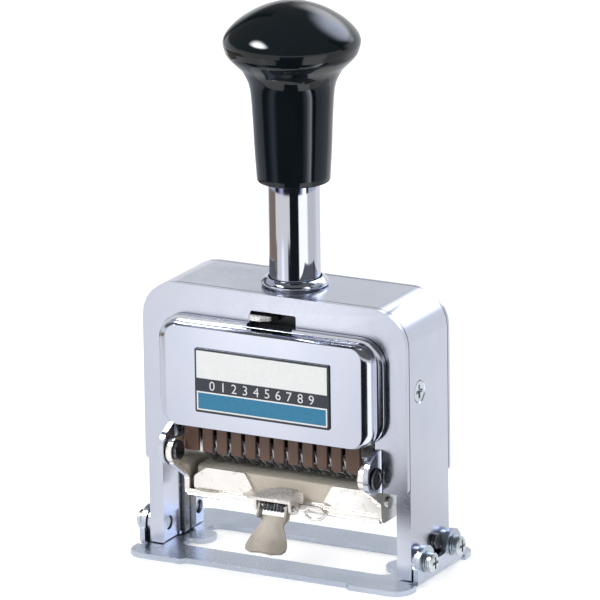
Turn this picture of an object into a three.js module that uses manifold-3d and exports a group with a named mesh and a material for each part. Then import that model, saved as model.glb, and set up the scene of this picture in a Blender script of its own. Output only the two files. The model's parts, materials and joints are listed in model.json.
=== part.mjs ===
import * as THREE from "three";
import { mergeVertices } from "three/addons/utils/BufferGeometryUtils.js";
import Module from "manifold-3d";

// Hand numbering machine. Millimetres, +X to the right, +Y to the back, +Z up.
// Places are measured from the shaft axis (x, y) and from the underside of the base (z).

// Shares, counts and angles
const wheel_count = 11;
const digit_count = 10;
const round_steps = 16;
const hole_steps = 12;
const small_steps = 12;
const fillet_steps = 3;
const corner_steps = 6;
const knob_steps = 26;
const shaft_steps = 30;
const spring_curls = 13;
const coil_curls = 5;
const curl_steps = 8;
const wire_sides = 5;
const swing_deg = 112.7;
const type_half_deg = 13;
const lever_width_shares = [0.74, 0.64, 0.55, 0.6, 0.7, 0.81, 0.91, 0.98, 1, 0.9, 0.5];

// Fits
const seat_gap = 0.3;
const face_gap = 0.15;
const slip_gap = 0.35;
const pin_gap = 0.2;
const weld = 0.0001;
const cut_margin = 1;
const beyond = 200;

// One degree in radians
const deg = Math.PI / 180;

// Stroke of the plunger, from rest until the type meets the paper
const stroke = 24.5;

// Number wheels and their axle
const wheel_r = 10.5;
const type_depth = 1.3;
const type_gap = 1.06;
const ratchet_width = 0.75;
const ratchet_drop = 3.1;
const ratchet_tooth = 1.1;
const axle_y = 0.5;
const axle_r = 2.2;
const follower_r = 1.45;
const axle_z = stroke + wheel_r;
const ratchet_r = wheel_r - ratchet_drop;
const ratchet_root_r = ratchet_r - ratchet_tooth;

// Digit guard
const comb = 1;
const comb_over = 14;
const comb_under = 5.1;
const comb_slot = 1.2;
const comb_slot_over = 10;
const comb_overhang = 1;
const comb_end_r = 0.6;
const comb_top_z = axle_z + comb_over;
const comb_low_z = axle_z - comb_under;
const comb_slot_top_z = axle_z + comb_slot_over;

// Casing
const case_half_x = 40;
const leg = 4.3;
const roof = 3;
const mouth_over = 11;
const head_room = 17;
const case_corner_r = 10;
const case_front_room = 1.2;
const case_back_room = 0.3;
const boss_r = 3.9;
const groove_front_inset = 9.7;
const groove_back_inset = 5.4;
const groove_depth = 1.6;
const groove_stop = 12;
const nut_recess = 0.5;
const nut_recess_lip = 0.4;
const nut_recess_long = 8.4;
const nut_recess_high = 7.6;
const mouth_top_z = comb_top_z + mouth_over;
const case_top_z = mouth_top_z + head_room;
const roof_z = case_top_z - roof;
const case_inner_x = case_half_x - leg;
const case_front_y = axle_y - wheel_r - case_front_room;
const case_back_y = axle_y + wheel_r + case_back_room;
const groove_front_y = case_front_y + groove_front_inset;
const groove_back_y = case_back_y - groove_back_inset;
const groove_y = (groove_front_y + groove_back_y) / 2;
const groove_half = (groove_back_y - groove_front_y) / 2;

// Base plate with its bent-up ears
const sheet = 1.5;
const base_offset_y = 1;
const base_half_y = 21.8;
const base_relief = 1.4;
const base_relief_inset = 18.2;
const base_corner_r = 4.5;
const bend_r = 2.4;
const bend_notch = 1.3;
const window_rail = 3.7;
const window_half_y = 10.2;
const window_r = 3;
const pointer_reach = 5.2;
const pointer_half_y = 4.2;
const pointer_r = 3.6;
const pointer_root_r = 1.2;
const ear_gap = 1.2;
const lobe_share = 2 / 7;
const ear_heel = 0.4;
const ear_tail = 1.1;
const ear_waist_z = 5.6;
const ear_fillet_r = 1.2;
const ear_inner_x = case_half_x + ear_gap;
const base_half_x = ear_inner_x + sheet;
const foot_z = sheet + seat_gap;

// Foot screws with their washers
const foot_screw_z = 6.5;
const foot_screw_inset = 2.5;
const foot_shank_r = 1.7;
const foot_shank_end = 0.4;
const washer_r = 2.95;
const washer = 0.5;
const foot_head_r = 2.75;
const foot_head = 1.5;
const foot_screw_front_y = case_front_y + boss_r;
const foot_screw_back_y = case_back_y - foot_screw_inset;
const ear_lobe_r = (foot_screw_back_y - foot_screw_front_y) * lobe_share;
const ear_front_y = foot_screw_front_y - ear_lobe_r - ear_heel;
const ear_back_y = foot_screw_back_y + ear_lobe_r + ear_tail;

// Leg liners and their knurled screws
const liner_proud = 0.9;
const liner_score_half = 0.35;
const liner_score = 0.45;
const knurled_z = 9.2;
const knurled_shift = 0.2;
const knurled_r = 2.2;
const knurled_head = 1.9;
const knurled_shank_r = 1.3;

// Ink bracket pivot
const pivot_drop = 4.2;
const pivot_r = 1.9;
const hub_r = 3.7;
const ring_r = 3.1;
const ring = 0.45;
const rivet_head_end = 0.9;
const rivet_chamfer = 0.3;
const lug_eye_r = 4.3;
const lug_rise = 7.2;
const lug_shoulder_r = 1.5;
const lug_bend_r = 2.3;
const lug_root = 3;
const plate_foot_drop = 4.7;
const plate_foot_r = 1.6;
const pivot_z = axle_z - pivot_drop;
const lug_top_z = pivot_z + lug_rise;
const plate_foot_z = pivot_z - plate_foot_drop;

// Front and rear plates
const front_plate = 1.5;
const rear_plate = 1.2;
const mouth_cheek = 9.6;
const mouth_r = 3;
const slot_half_x = 6.9;
const slot_high = 4.4;
const slot_drop = 4.9;
const slot_r = 0.5;
const side_screw_inset = 5.9;
const side_screw_drop = 23.7;
const side_screw_r = 3;
const side_shank_r = 1.5;
const side_screw_flush = 0.1;
const tab_reach = 3.9;
const tab_half_z = 4.6;
const rear_screw_drop = 17;
const rear_screw_r = 1.7;
const rear_shank_r = 0.9;
const rear_head = 1;
const rear_slot_half = 0.25;
const front_back_y = case_front_y - seat_gap;
const front_plate_y = front_back_y - front_plate;
const rear_inner_y = case_back_y + seat_gap;
const rear_plate_y = rear_inner_y + rear_plate;
const mouth_half_x = case_half_x - mouth_cheek;
const lug_outer_x = mouth_half_x + front_plate;
const slot_top_z = case_top_z - slot_drop;
const slot_low_z = slot_top_z - slot_high;
const side_screw_y = case_front_y + side_screw_inset;
const side_screw_z = case_top_z - side_screw_drop;
const comb_front_y = front_plate_y + comb;
const pivot_y = comb_front_y - seat_gap - hub_r;

// Raised front cover
const cover_margin = 5.9;
const cover_drop = 8;
const cover_clear = 0.9;
const cover_depth = 6.5;
const cover_skin = 0.9;
const cover_r = 7.5;
const cover_step = 1.9;
const cover_ledge = 1.9;
const cover_lip = 0.5;
const cover_roll = 0.4;
const cover_shoulder = 2.2;
const least_skin_r = 0.6;
const face_margin = 4.6;
const face_margin_top = 1.7;
const face_margin_low = 0.5;
const face_r = 3.4;
const cover_half_x = case_half_x - cover_margin;
const cover_top_z = case_top_z - cover_drop;
const cover_low_z = lug_top_z + cover_clear;
const cover_front_y = front_plate_y - cover_depth;
const face_half_x = cover_half_x - face_margin;
const face_top_z = cover_top_z - face_margin_top;
const face_low_z = cover_low_z + face_margin_low;

// Number plate
const label_margin = 9.1;
const label_margin_top = 5.4;
const label_margin_low = 4.5;
const label_plate = 0.5;
const label_seat = 0.12;
const label_r = 0.45;

// Ink bracket and its tray
const arm = 1.4;
const hub_step = 0.3;
const slot_slack = 0.25;
const slot_wall = 1.7;
const swing_limit_r = 26.9;
const tray_inset = 6.8;
const tray_drop = 8.9;
const tray_sheet = 1.1;
const tray_lip = 2.2;
const tray_reach = 7.1;
const tray_rise = 3.2;
const tray_back_rise = 3.6;
const tray_flat = 1;
const bend_in_r = 1;
const bend_out_r = 2;
const arm_fillet_r = 1.5;
const arm_ledge = 5.6;
const rivet_inset = 11.2;
const rivet_over = 5.1;
const rivet_r = 1.7;
const rivet_head = 0.5;
const arm_inner_x = mouth_half_x - seat_gap - arm;
const arm_outer_x = arm_inner_x + arm;
const hub_inner_x = arm_inner_x - hub_step;
const tray_front_y = pivot_y + tray_inset;
const tray_low_z = stroke - tray_drop;
const tray_lip_z = tray_low_z + tray_lip;
const tray_flat_y = axle_y + tray_flat;
const tray_back_y = axle_y + tray_reach;
const tray_back_z = tray_low_z + tray_rise;
const tray_back_top_z = tray_back_z + tray_back_rise;

// Pad case and felt
const case_sheet = 0.7;
const case_slack = 0.25;
const pad_case_gap = 0.6;
const pad_lip = 1.6;
const pad_tab_inset = 3.9;
const pad_tab_left_x = -12.2;
const pad_tab_right_x = 14.5;
const pad_tab_shoulder = 2.8;
const pad_tab_slope = 2.6;
const pad_tab_low = 0.8;
const pad_tab_r = 1.5;
const pad_tab_drop = 0.1;
const felt_side_gap = 0.5;
const felt_gap = 0.2;
const felt_r = 1;
const pad_case_half_x = arm_inner_x - pad_case_gap;

// Carriage: bridge, side plates, rods
const bank_left_room = 1.3;
const bank_right_room = 4.5;
const side_plate = 1.5;
const bridge_over = 5.7;
const bridge_thick = 4;
const bridge_front_inset = 2.8;
const bridge_back_rim = 2;
const bridge_r = 1;
const bridge_screw_back = 5.5;
const bridge_screw_r = 1;
const bridge_screw_head_r = 1.9;
const bridge_screw_head = 0.95;
const bridge_screw_long = 3.8;
const side_foot = 0.6;
const side_heel = 4;
const side_fillet_r = 2;
const pawl_turn = 60.2059;
const pawl_clear = 3.7888;
const pawl_rod_r = 1.2;
const pawl_wall = 0.75;
const detent_turn = 118.7053;
const detent_clear = 3.8656;
const detent_wall = 0.4;
const finger = 0.5;
const finger_gap = 0.4;
const finger_root = 1;
const finger_tip = 0.35;
const rod_proud = 0.2;
const bank_low_x = side_plate + bank_left_room - arm_inner_x;
const bank_high_x = arm_inner_x - bank_right_room - side_plate;
const bank_x = (bank_low_x + bank_high_x) / 2;
const wheel_pitch = (bank_high_x - bank_low_x - 2 * seat_gap) / wheel_count;
const type_width = wheel_pitch - type_gap;
const bridge_low_z = axle_z + wheel_r + bridge_over;
const bridge_high_z = bridge_low_z + bridge_thick;
const bridge_front_y = axle_y - wheel_r + bridge_front_inset;
const pawl_rod_y = axle_y + (wheel_r + pawl_clear) * Math.cos(pawl_turn * deg);
const pawl_rod_z = axle_z + (wheel_r + pawl_clear) * Math.sin(pawl_turn * deg);
const bridge_back_y = pawl_rod_y + bridge_back_rim;
const detent_y = axle_y + (wheel_r + detent_clear) * Math.cos(detent_turn * deg);
const detent_z = axle_z + (wheel_r + detent_clear) * Math.sin(detent_turn * deg);

// Shaft, collar, yoke and return spring
const shaft_r = 7;
const shaft_wall = 1.6;
const shaft_seat = 2;
const shaft_in_knob = 6;
const spigot_step = 2;
const spigot = 12;
const shaft_crown = 11;
const collar_wall = 0.9;
const collar_flange = 1.25;
const collar_over = 2.4;
const collar_chamfer = 0.3;
const collar_roll = 0.5;
const yoke_half_y = 2.1;
const yoke_half_x = 14;
const yoke = 2.4;
const yoke_clear = 0.6;
const yoke_foot = 6;
const yoke_fillet_r = 1;
const fork_gap = 0.4;
const fork_end_gap = 0.5;
const spring_room = 1.2;
const spring_wire_r = 0.5;
const shaft_bore_r = shaft_r - shaft_wall;
const spigot_r = shaft_r - spigot_step;
const spring_r = shaft_bore_r - spring_room;
const collar_neck_r = shaft_r + collar_wall;
const collar_r = collar_neck_r + collar_flange;
const yoke_low_z = axle_z + wheel_r + yoke_clear;
const yoke_foot_x = yoke_half_x + yoke_foot;
const bar_top_z = yoke_low_z + yoke;
const fork_half_y = yoke_half_y + fork_gap;

// Knob
const press_room = 4.5;
const knob_grip = 38.7;
const knob_dome = 10.6;
const knob_r = 18.5;
const knob_wall = 3;
const knob_recess = 1.2;
const knob_rim = 1.5;
const knob_edge = 0.5;
const knob_waist_r = shaft_r + knob_wall;
const knob_foot_z = case_top_z + stroke + press_room;
const knob_wide_z = knob_foot_z + knob_grip;
const knob_top_z = knob_wide_z + knob_dome;
const shaft_shoulder_z = knob_foot_z + shaft_in_knob;
const spigot_top_z = shaft_shoulder_z + spigot;
const bore_top_z = shaft_shoulder_z - shaft_crown;

// Action selector and its keeper
const selector_plate = 1;
const selector_over = 4.5;
const selector_under = 0.7;
const selector_left_x = -11;
const selector_right_x = 8.8;
const selector_r = 1;
const selector_tab = 1.3;
const selector_tab_over = 2.45;
const selector_reach = 2.8;
const selector_tab_right_x = 1.6;
const selector_tip_right_x = -2.6;
const selector_tip_left_x = -6.4;
const selector_tip_r = 1.7;
const selector_edge = 0.4;
const selector_travel = 4.9;
const keeper = 0.8;
const keeper_half_x = 13.5;
const keeper_foot_low = 6.5;
const keeper_foot_high = 2.7;
const keeper_over = 0.7;
const keeper_fillet_r = 0.3;
const keeper_rivet_x = 9;
const keeper_rivet_r = 1;
const keeper_rivet_lip = 0.4;
const keeper_rivet_head = 0.8;

// Pad clip, pin, coil and thumb lever
const clip_x = -0.6;
const clip_sheet = 0.8;
const clip_ear_x = 4.9;
const clip_ear_r = 1.2;
const clip_ear_drop = 2.3;
const clip_reach = 4.8;
const clip_wing = 11;
const clip_tip = 0.6;
const clip_tip_over = 1.5;
const clip_brow_over = 2.4;
const clip_crown_over = 4.6;
const clip_flap_x = 7.4;
const clip_flap_low = 0.9;
const clip_flap_high = 4;
const pin_reach = 3.4;
const pin_over = 2.1;
const pin_r = 0.7;
const pin_proud = 0.7;
const coil_r = 1.3;
const coil_wire_r = 0.27;
const coil_half = 3.1;
const coil_leg = 2;
const coil_end = 0.3;
const lever_half = 6.05;
const lever_sheet = 0.8;
const lever_root_y = 1;
const lever_root_z = 2.4;
const lever_bend_y = 3;
const lever_bend_z = 6.6;
const lever_tip_y = 9;
const lever_tip_z = 10.1;
const lever_bow_r = 11;
const lever_eye_x = 3.9;
const lever_eye = 0.6;
const lever_eye_r = 1.15;
const pin_y = tray_front_y - pin_reach;
const pin_z = tray_low_z + pin_over;
const clip_back_y = tray_front_y - seat_gap;
const clip_front_y = clip_back_y - clip_reach;

// Wire hook beside the clip
const hook_wire_r = 0.42;
const hook_gap = 0.25;
const hook_offset = 1.5;
const hook_long = 6.6;
const hook_rise = 0.7;
const hook_drop = 3.2;
const hook_kick = 1.6;

const wasm = await Module();
wasm.setup();

const root = new THREE.Group();
root.name = "numbering_machine";

const chrome = { color: 0xd9dbe0, roughness: 0.08, metalness: 1 };
const nickel = { color: 0xd6cdb6, roughness: 0.2, metalness: 1 };
const steel = { color: 0x8b8f94, roughness: 0.35, metalness: 1 };
const zinc = { color: 0xb9c3c4, roughness: 0.3, metalness: 1 };
const black_steel = { color: 0x1c1e20, roughness: 0.45, metalness: 0.6 };
const phenolic = { color: 0x7a4c3a, roughness: 0.55, metalness: 0 };
const black_gloss = { color: 0x08080a, roughness: 0.06, metalness: 0 };
const felt = { color: 0xece3d0, roughness: 0.95, metalness: 0 };
const enamel = { color: 0x1f6f8f, roughness: 0.3, metalness: 0 };

// Turns a closed geometry into a solid that can be joined and cut.
function solid(geometry) {
  const flat = geometry.index ? geometry.toNonIndexed() : geometry;
  const bare = new THREE.BufferGeometry();
  bare.setAttribute("position", flat.getAttribute("position"));
  const merged = mergeVertices(bare, weld);
  const source = merged.index.array;
  const kept = [];
  for (let i = 0; i < source.length; i += 3) {
    const [a, b, c] = [source[i], source[i + 1], source[i + 2]];
    if (a !== b && b !== c && c !== a) kept.push(a, b, c);
  }
  const data = { numProp: 3, vertProperties: merged.attributes.position.array, triVerts: new Uint32Array(kept) };
  return new wasm.Manifold(new wasm.Mesh(data));
}

function join(...parts) {
  return parts.reduce((whole, part) => whole.add(part));
}

function cut(body, ...tools) {
  return tools.reduce((whole, tool) => whole.subtract(tool), body);
}

// Adds one named piece, moved so that the origin is the middle of the base.
function piece(name, body, finish) {
  const data = body.getMesh();
  const count = data.numProp;
  const points = new Float32Array(data.numVert * 3);
  for (let i = 0; i < data.numVert; i++) {
    points.set(data.vertProperties.subarray(i * count, i * count + 3), i * 3);
  }
  const geometry = new THREE.BufferGeometry();
  geometry.setAttribute("position", new THREE.BufferAttribute(points, 3));
  geometry.setIndex(new THREE.BufferAttribute(data.triVerts, 1));
  geometry.translate(0, -base_offset_y, 0);
  const mesh = new THREE.Mesh(geometry.toNonIndexed(), new THREE.MeshStandardMaterial(finish));
  mesh.geometry.computeVertexNormals();
  mesh.name = name;
  root.add(mesh);
}

// Rounds the corners of an outline; each corner is [a, b, radius].
function rounded(corners, steps = fillet_steps) {
  const out = [];
  const total = corners.length;
  corners.forEach(([a, b, r = 0], i) => {
    const here = new THREE.Vector2(a, b);
    if (r === 0) {
      out.push(here);
      return;
    }
    const [pa, pb] = corners[(i + total - 1) % total];
    const [na, nb] = corners[(i + 1) % total];
    const u = new THREE.Vector2(pa, pb).sub(here).normalize();
    const v = new THREE.Vector2(na, nb).sub(here).normalize();
    const half = Math.acos(THREE.MathUtils.clamp(u.dot(v), -1, 1)) / 2;
    const centre = u.clone().add(v).normalize().multiplyScalar(r / Math.sin(half)).add(here);
    const start = u.multiplyScalar(r / Math.tan(half)).add(here).sub(centre).angle();
    const end = v.multiplyScalar(r / Math.tan(half)).add(here).sub(centre).angle();
    const turn = Math.atan2(Math.sin(end - start), Math.cos(end - start));
    for (let k = 0; k <= steps; k++) {
      const angle = start + (turn * k) / steps;
      out.push(new THREE.Vector2(centre.x + r * Math.cos(angle), centre.y + r * Math.sin(angle)));
    }
  });
  return out;
}

function box2(a0, a1, b0, b1, r = 0) {
  return [[a0, b0, r], [a1, b0, r], [a1, b1, r], [a0, b1, r]];
}

function circle(a, b, r, steps = hole_steps) {
  const out = [];
  for (let k = 0; k < steps; k++) {
    const angle = (2 * Math.PI * k) / steps;
    out.push(new THREE.Vector2(a + r * Math.cos(angle), b + r * Math.sin(angle)));
  }
  return out;
}

// The frame that carries an outline along one axis: X takes (y, z), Y takes (x, z), Z takes (x, y).
const frames = {
  X: [[0, 1, 0], [0, 0, 1], [1, 0, 0]],
  Y: [[1, 0, 0], [0, 0, 1], [0, -1, 0]],
  Z: [[1, 0, 0], [0, 1, 0], [0, 0, 1]],
};

function prism(axis, outline, low, high, holes = []) {
  const points = outline[0].isVector2 ? outline : rounded(outline);
  const shape = new THREE.Shape(points);
  holes.forEach((hole) => shape.holes.push(new THREE.Path(hole[0].isVector2 ? hole : rounded(hole))));
  const geometry = new THREE.ExtrudeGeometry(shape, { depth: high - low, bevelEnabled: false, steps: 1 });
  const [a, b, c] = frames[axis].map((v) => new THREE.Vector3(...v));
  geometry.applyMatrix4(new THREE.Matrix4().makeBasis(a, b, c));
  if (axis === "X") geometry.translate(low, 0, 0);
  if (axis === "Y") geometry.translate(0, high, 0);
  if (axis === "Z") geometry.translate(0, 0, low);
  return solid(geometry);
}

function block(x0, x1, y0, y1, z0, z1) {
  return prism("Z", box2(x0, x1, y0, y1), z0, z1);
}

// Turns a profile of [radius, height] about an axis through the point at.
function turned(axis, profile, at = [0, 0, 0], steps = round_steps) {
  const make = (list) => {
    const points = list.map(([r, h]) => new THREE.Vector2(r, h));
    const geometry = new THREE.LatheGeometry(points, steps);
    if (axis === "Z") geometry.rotateX(Math.PI / 2);
    if (axis === "X") geometry.rotateZ(-Math.PI / 2);
    geometry.translate(...at);
    return solid(geometry);
  };
  const made = make(profile);
  return made.volume() < 0 ? make([...profile].reverse()) : made;
}

function rod(axis, r, low, high, at = [0, 0, 0], steps = round_steps) {
  return turned(axis, [[0, low], [r, low], [r, high], [0, high]], at, steps);
}

// A wire of round section along a list of points.
function wire(points, r, steps, sides = wire_sides) {
  const shape = new THREE.Shape(circle(0, 0, r, sides));
  const path = new THREE.CatmullRomCurve3(points, false, "centripetal");
  return solid(new THREE.ExtrudeGeometry(shape, { steps, bevelEnabled: false, extrudePath: path }));
}

class Helix extends THREE.Curve {
  constructor(at) {
    super();
    this.at = at;
  }

  getPoint(t, target = new THREE.Vector3()) {
    return target.copy(this.at(t));
  }
}

// Makes a piece on the right and its mirror image on the left.
function pair(name, make, finish) {
  piece(name + "_right", make(1), finish);
  piece(name + "_left", make(-1), finish);
}

function prismX(side, outline, inner, outer, holes = []) {
  return side > 0 ? prism("X", outline, inner, outer, holes) : prism("X", outline, -outer, -inner, holes);
}

// A cross recess for a screw head that faces along X.
function crossX(side, x, y, z, r, depth) {
  const slot = r * 0.16;
  const reach = r * 0.62;
  const a = prismX(side, box2(y - reach, y + reach, z - slot, z + slot), x - depth, x + cut_margin);
  const b = prismX(side, box2(y - slot, y + slot, z - reach, z + reach), x - depth, x + cut_margin);
  return join(a, b);
}

// Joins rings of points, one behind the other, into one closed solid.
function loft(rings) {
  const index = [];
  const n = rings[0].length;
  for (let k = 0; k + 1 < rings.length; k++) {
    for (let i = 0; i < n; i++) {
      const j = (i + 1) % n;
      const [a, b, c, d] = [k * n + i, k * n + j, (k + 1) * n + j, (k + 1) * n + i];
      index.push(a, b, c, a, c, d);
    }
  }
  const last = (rings.length - 1) * n;
  for (let i = 1; i + 1 < n; i++) {
    index.push(0, i + 1, i);
    index.push(last, last + i, last + i + 1);
  }
  return faced(rings.flat(), index);
}

// Makes a solid from points and triangles, turned so that its faces point outwards.
function faced(points, index) {
  const make = (list) => solid(new THREE.BufferGeometry().setFromPoints(points).setIndex(list));
  const made = make(index);
  return made.volume() < 0 ? make([...index].reverse()) : made;
}

// A thin curved sheet between two faces; u and v run from 0 to 1 on both.
function curvedSheet(columns, rows, front, back) {
  const points = [];
  const index = [];
  const quad = (a, b, c, d) => index.push(a, b, c, a, c, d);
  for (const face of [front, back]) {
    for (let j = 0; j <= rows; j++) {
      for (let i = 0; i <= columns; i++) points.push(face(i / columns, j / rows));
    }
  }
  const wide = columns + 1;
  const half = wide * (rows + 1);
  for (let j = 0; j < rows; j++) {
    for (let i = 0; i < columns; i++) {
      const a = j * wide + i;
      quad(a, a + 1, a + 1 + wide, a + wide);
      quad(half + a, half + a + wide, half + a + wide + 1, half + a + 1);
    }
  }
  for (let i = 0; i < columns; i++) {
    const a = rows * wide + i;
    quad(i + 1, i, half + i, half + i + 1);
    quad(a, a + 1, half + a + 1, half + a);
  }
  for (let j = 0; j < rows; j++) {
    const a = j * wide;
    const b = a + columns;
    quad(a, a + wide, half + a + wide, half + a);
    quad(b + wide, b, half + b, half + b + wide);
  }
  return faced(points, index);
}

// Measures how near a coil's wire comes to itself, leaving out its own next turn of half a curl.
function leastGap(name, points, r) {
  let least = Infinity;
  for (let i = 0; i < points.length; i++) {
    for (let j = i + curl_steps / 2; j < points.length; j++) {
      least = Math.min(least, points[i].distanceTo(points[j]));
    }
  }
  console.log(name + ": least gap to itself " + (least - 2 * r).toFixed(2) + " mm");
}

// Casing: an upside-down U of solid section with a bored roof
const case_outer = [
  [-case_half_x, foot_z],
  [-case_inner_x, foot_z],
  [-case_inner_x, roof_z, case_corner_r - leg],
  [case_inner_x, roof_z, case_corner_r - leg],
  [case_inner_x, foot_z],
  [case_half_x, foot_z],
  [case_half_x, case_top_z, case_corner_r],
  [-case_half_x, case_top_z, case_corner_r],
];
const knurled_y = groove_y + knurled_shift;
const groove_top_z = roof_z - groove_stop;
const foot_bore_r = foot_shank_r + seat_gap;
const side_bore_r = side_shank_r + seat_gap;
const side_sink = side_screw_r - side_shank_r;
let casing = prism("Y", rounded(case_outer, corner_steps), case_front_y, case_back_y);
casing = cut(casing, rod("Z", collar_neck_r, roof_z - cut_margin, case_top_z + cut_margin));
for (const side of [1, -1]) {
  for (const y of [foot_screw_front_y, foot_screw_back_y]) {
    const boss = circle(y, foot_screw_z, boss_r, round_steps);
    casing = join(casing, prismX(side, boss, case_half_x - leg / 2, ear_inner_x - seat_gap));
  }
  for (const y of [foot_screw_front_y, foot_screw_back_y]) {
    const bore = circle(y, foot_screw_z, foot_bore_r, hole_steps);
    casing = cut(casing, prismX(side, bore, case_inner_x - cut_margin, base_half_x));
  }
  const groove = box2(groove_y - groove_half, groove_y + groove_half, 0, groove_top_z);
  const nut_front_y = case_front_y + nut_recess_lip;
  const nut = box2(nut_front_y, nut_front_y + nut_recess_long, 0, foot_z + nut_recess_high);
  const knurled_bore = circle(knurled_y, knurled_z, knurled_shank_r + seat_gap, small_steps);
  const countersink = [
    [0, case_inner_x - cut_margin],
    [side_bore_r, case_inner_x - cut_margin],
    [side_bore_r, case_half_x - side_sink],
    [side_screw_r + seat_gap, case_half_x],
    [side_screw_r + seat_gap, case_half_x + cut_margin],
    [0, case_half_x + cut_margin],
  ].map(([r, h]) => [r, side * h]);
  casing = cut(
    casing,
    prismX(side, groove, case_inner_x - cut_margin, case_inner_x + groove_depth),
    prismX(side, nut, case_inner_x - cut_margin, case_inner_x + nut_recess),
    prismX(side, knurled_bore, case_inner_x, case_half_x + cut_margin),
    turned("X", countersink, [0, side_screw_y, side_screw_z], hole_steps),
  );
}
piece("frame_casing", casing, chrome);

// Base plate: flat sheet with a window, two pointers and four screw lobes on bent-up ears
const front_edge = base_offset_y - base_half_y;
const back_edge = base_offset_y + base_half_y;
const flat_half_x = base_half_x - bend_r;
const relief_x = base_half_x - base_relief_inset;
const front_corner_r = Math.min(base_corner_r, ear_front_y - bend_notch - front_edge);
const back_corner_r = Math.min(base_corner_r, back_edge - ear_back_y - bend_notch);
const base_outline = [
  [relief_x, front_edge + base_relief],
  [relief_x + base_relief, front_edge],
  [base_half_x, front_edge, front_corner_r],
  [base_half_x, ear_front_y - bend_notch],
  [flat_half_x, ear_front_y - bend_notch],
  [flat_half_x, ear_back_y + bend_notch],
  [base_half_x, ear_back_y + bend_notch],
  [base_half_x, back_edge, back_corner_r],
  [relief_x + base_relief, back_edge],
  [relief_x, back_edge - base_relief],
];
const mirrored = base_outline.map(([x, y, r]) => [-x, y, r]).reverse();
const window_half_x = case_inner_x - window_rail;
const pointer_tip_x = window_half_x - pointer_reach;
const window_side = [
  [window_half_x, base_offset_y - window_half_y, window_r],
  [window_half_x, base_offset_y - pointer_half_y, pointer_root_r],
  [pointer_tip_x, base_offset_y - pointer_half_y, pointer_r],
  [pointer_tip_x, base_offset_y + pointer_half_y, pointer_r],
  [window_half_x, base_offset_y + pointer_half_y, pointer_root_r],
  [window_half_x, base_offset_y + window_half_y, window_r],
];
const window_mirror = window_side.map(([x, y, r]) => [-x, y, r]).reverse();
let base = prism("Z", [...base_outline, ...mirrored], 0, sheet, [[...window_side, ...window_mirror]]);
const lobe_top = foot_screw_z + ear_lobe_r;
const ear_outline = [
  [ear_front_y, -cut_margin],
  [ear_back_y, -cut_margin],
  [ear_back_y, ear_waist_z, ear_fillet_r],
  [foot_screw_back_y + ear_lobe_r, ear_waist_z, 0],
  [foot_screw_back_y + ear_lobe_r, lobe_top, ear_lobe_r],
  [foot_screw_back_y - ear_lobe_r, lobe_top, ear_lobe_r],
  [foot_screw_back_y - ear_lobe_r, ear_waist_z, ear_fillet_r],
  [foot_screw_front_y + ear_lobe_r, ear_waist_z, ear_fillet_r],
  [foot_screw_front_y + ear_lobe_r, lobe_top, ear_lobe_r],
  [foot_screw_front_y - ear_lobe_r, lobe_top, ear_lobe_r],
  [foot_screw_front_y - ear_lobe_r, ear_waist_z, 0],
  [ear_front_y, ear_waist_z, 0],
];
for (const side of [1, -1]) {
  const bent = [
    [flat_half_x - cut_margin, 0, 0],
    [base_half_x, 0, bend_r],
    [base_half_x, lobe_top + cut_margin, 0],
    [ear_inner_x, lobe_top + cut_margin, 0],
    [ear_inner_x, sheet, bend_r - sheet],
    [flat_half_x - cut_margin, sheet, 0],
  ].map(([x, z, r]) => [side * x, z, r]);
  if (side < 0) bent.reverse();
  const strip = prism("Y", bent, ear_front_y, ear_back_y);
  const holes = [foot_screw_front_y, foot_screw_back_y].map((y) => circle(y, foot_screw_z, foot_bore_r, hole_steps));
  const mask_low_x = flat_half_x - 2 * cut_margin;
  const mask = prismX(side, rounded(ear_outline), mask_low_x, base_half_x + cut_margin, holes);
  base = join(base, strip.intersect(mask));
}
piece("base_plate", base, chrome);

// Foot screws: pan head, lock washer and flat washer in one turned shape
for (const [end, y] of [["front", foot_screw_front_y], ["rear", foot_screw_back_y]]) {
  pair("foot_screw_" + end, (side) => {
    const face = base_half_x + face_gap;
    const under_head = face + 2 * washer;
    const top = under_head + foot_head;
    const profile = [
      [0, case_inner_x + nut_recess + foot_shank_end],
      [foot_shank_r, case_inner_x + nut_recess + foot_shank_end],
      [foot_shank_r, face],
      [washer_r, face],
      [washer_r, face + washer * 0.8],
      [foot_head_r * 0.86, face + washer],
      [foot_head_r, face + washer * 1.2],
      [foot_head_r, face + washer * 1.8],
      [foot_head_r * 0.86, under_head],
      [foot_head_r, under_head + washer * 0.2],
      [foot_head_r, top - foot_head * 0.35],
      [foot_head_r * 0.72, top],
      [0, top],
    ].map(([r, h]) => [r, side * h]);
    const body = turned("X", profile, [0, y, foot_screw_z], hole_steps);
    return cut(body, crossX(side, top, y, foot_screw_z, foot_head_r, foot_head * 0.7));
  }, zinc);
}

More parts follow.
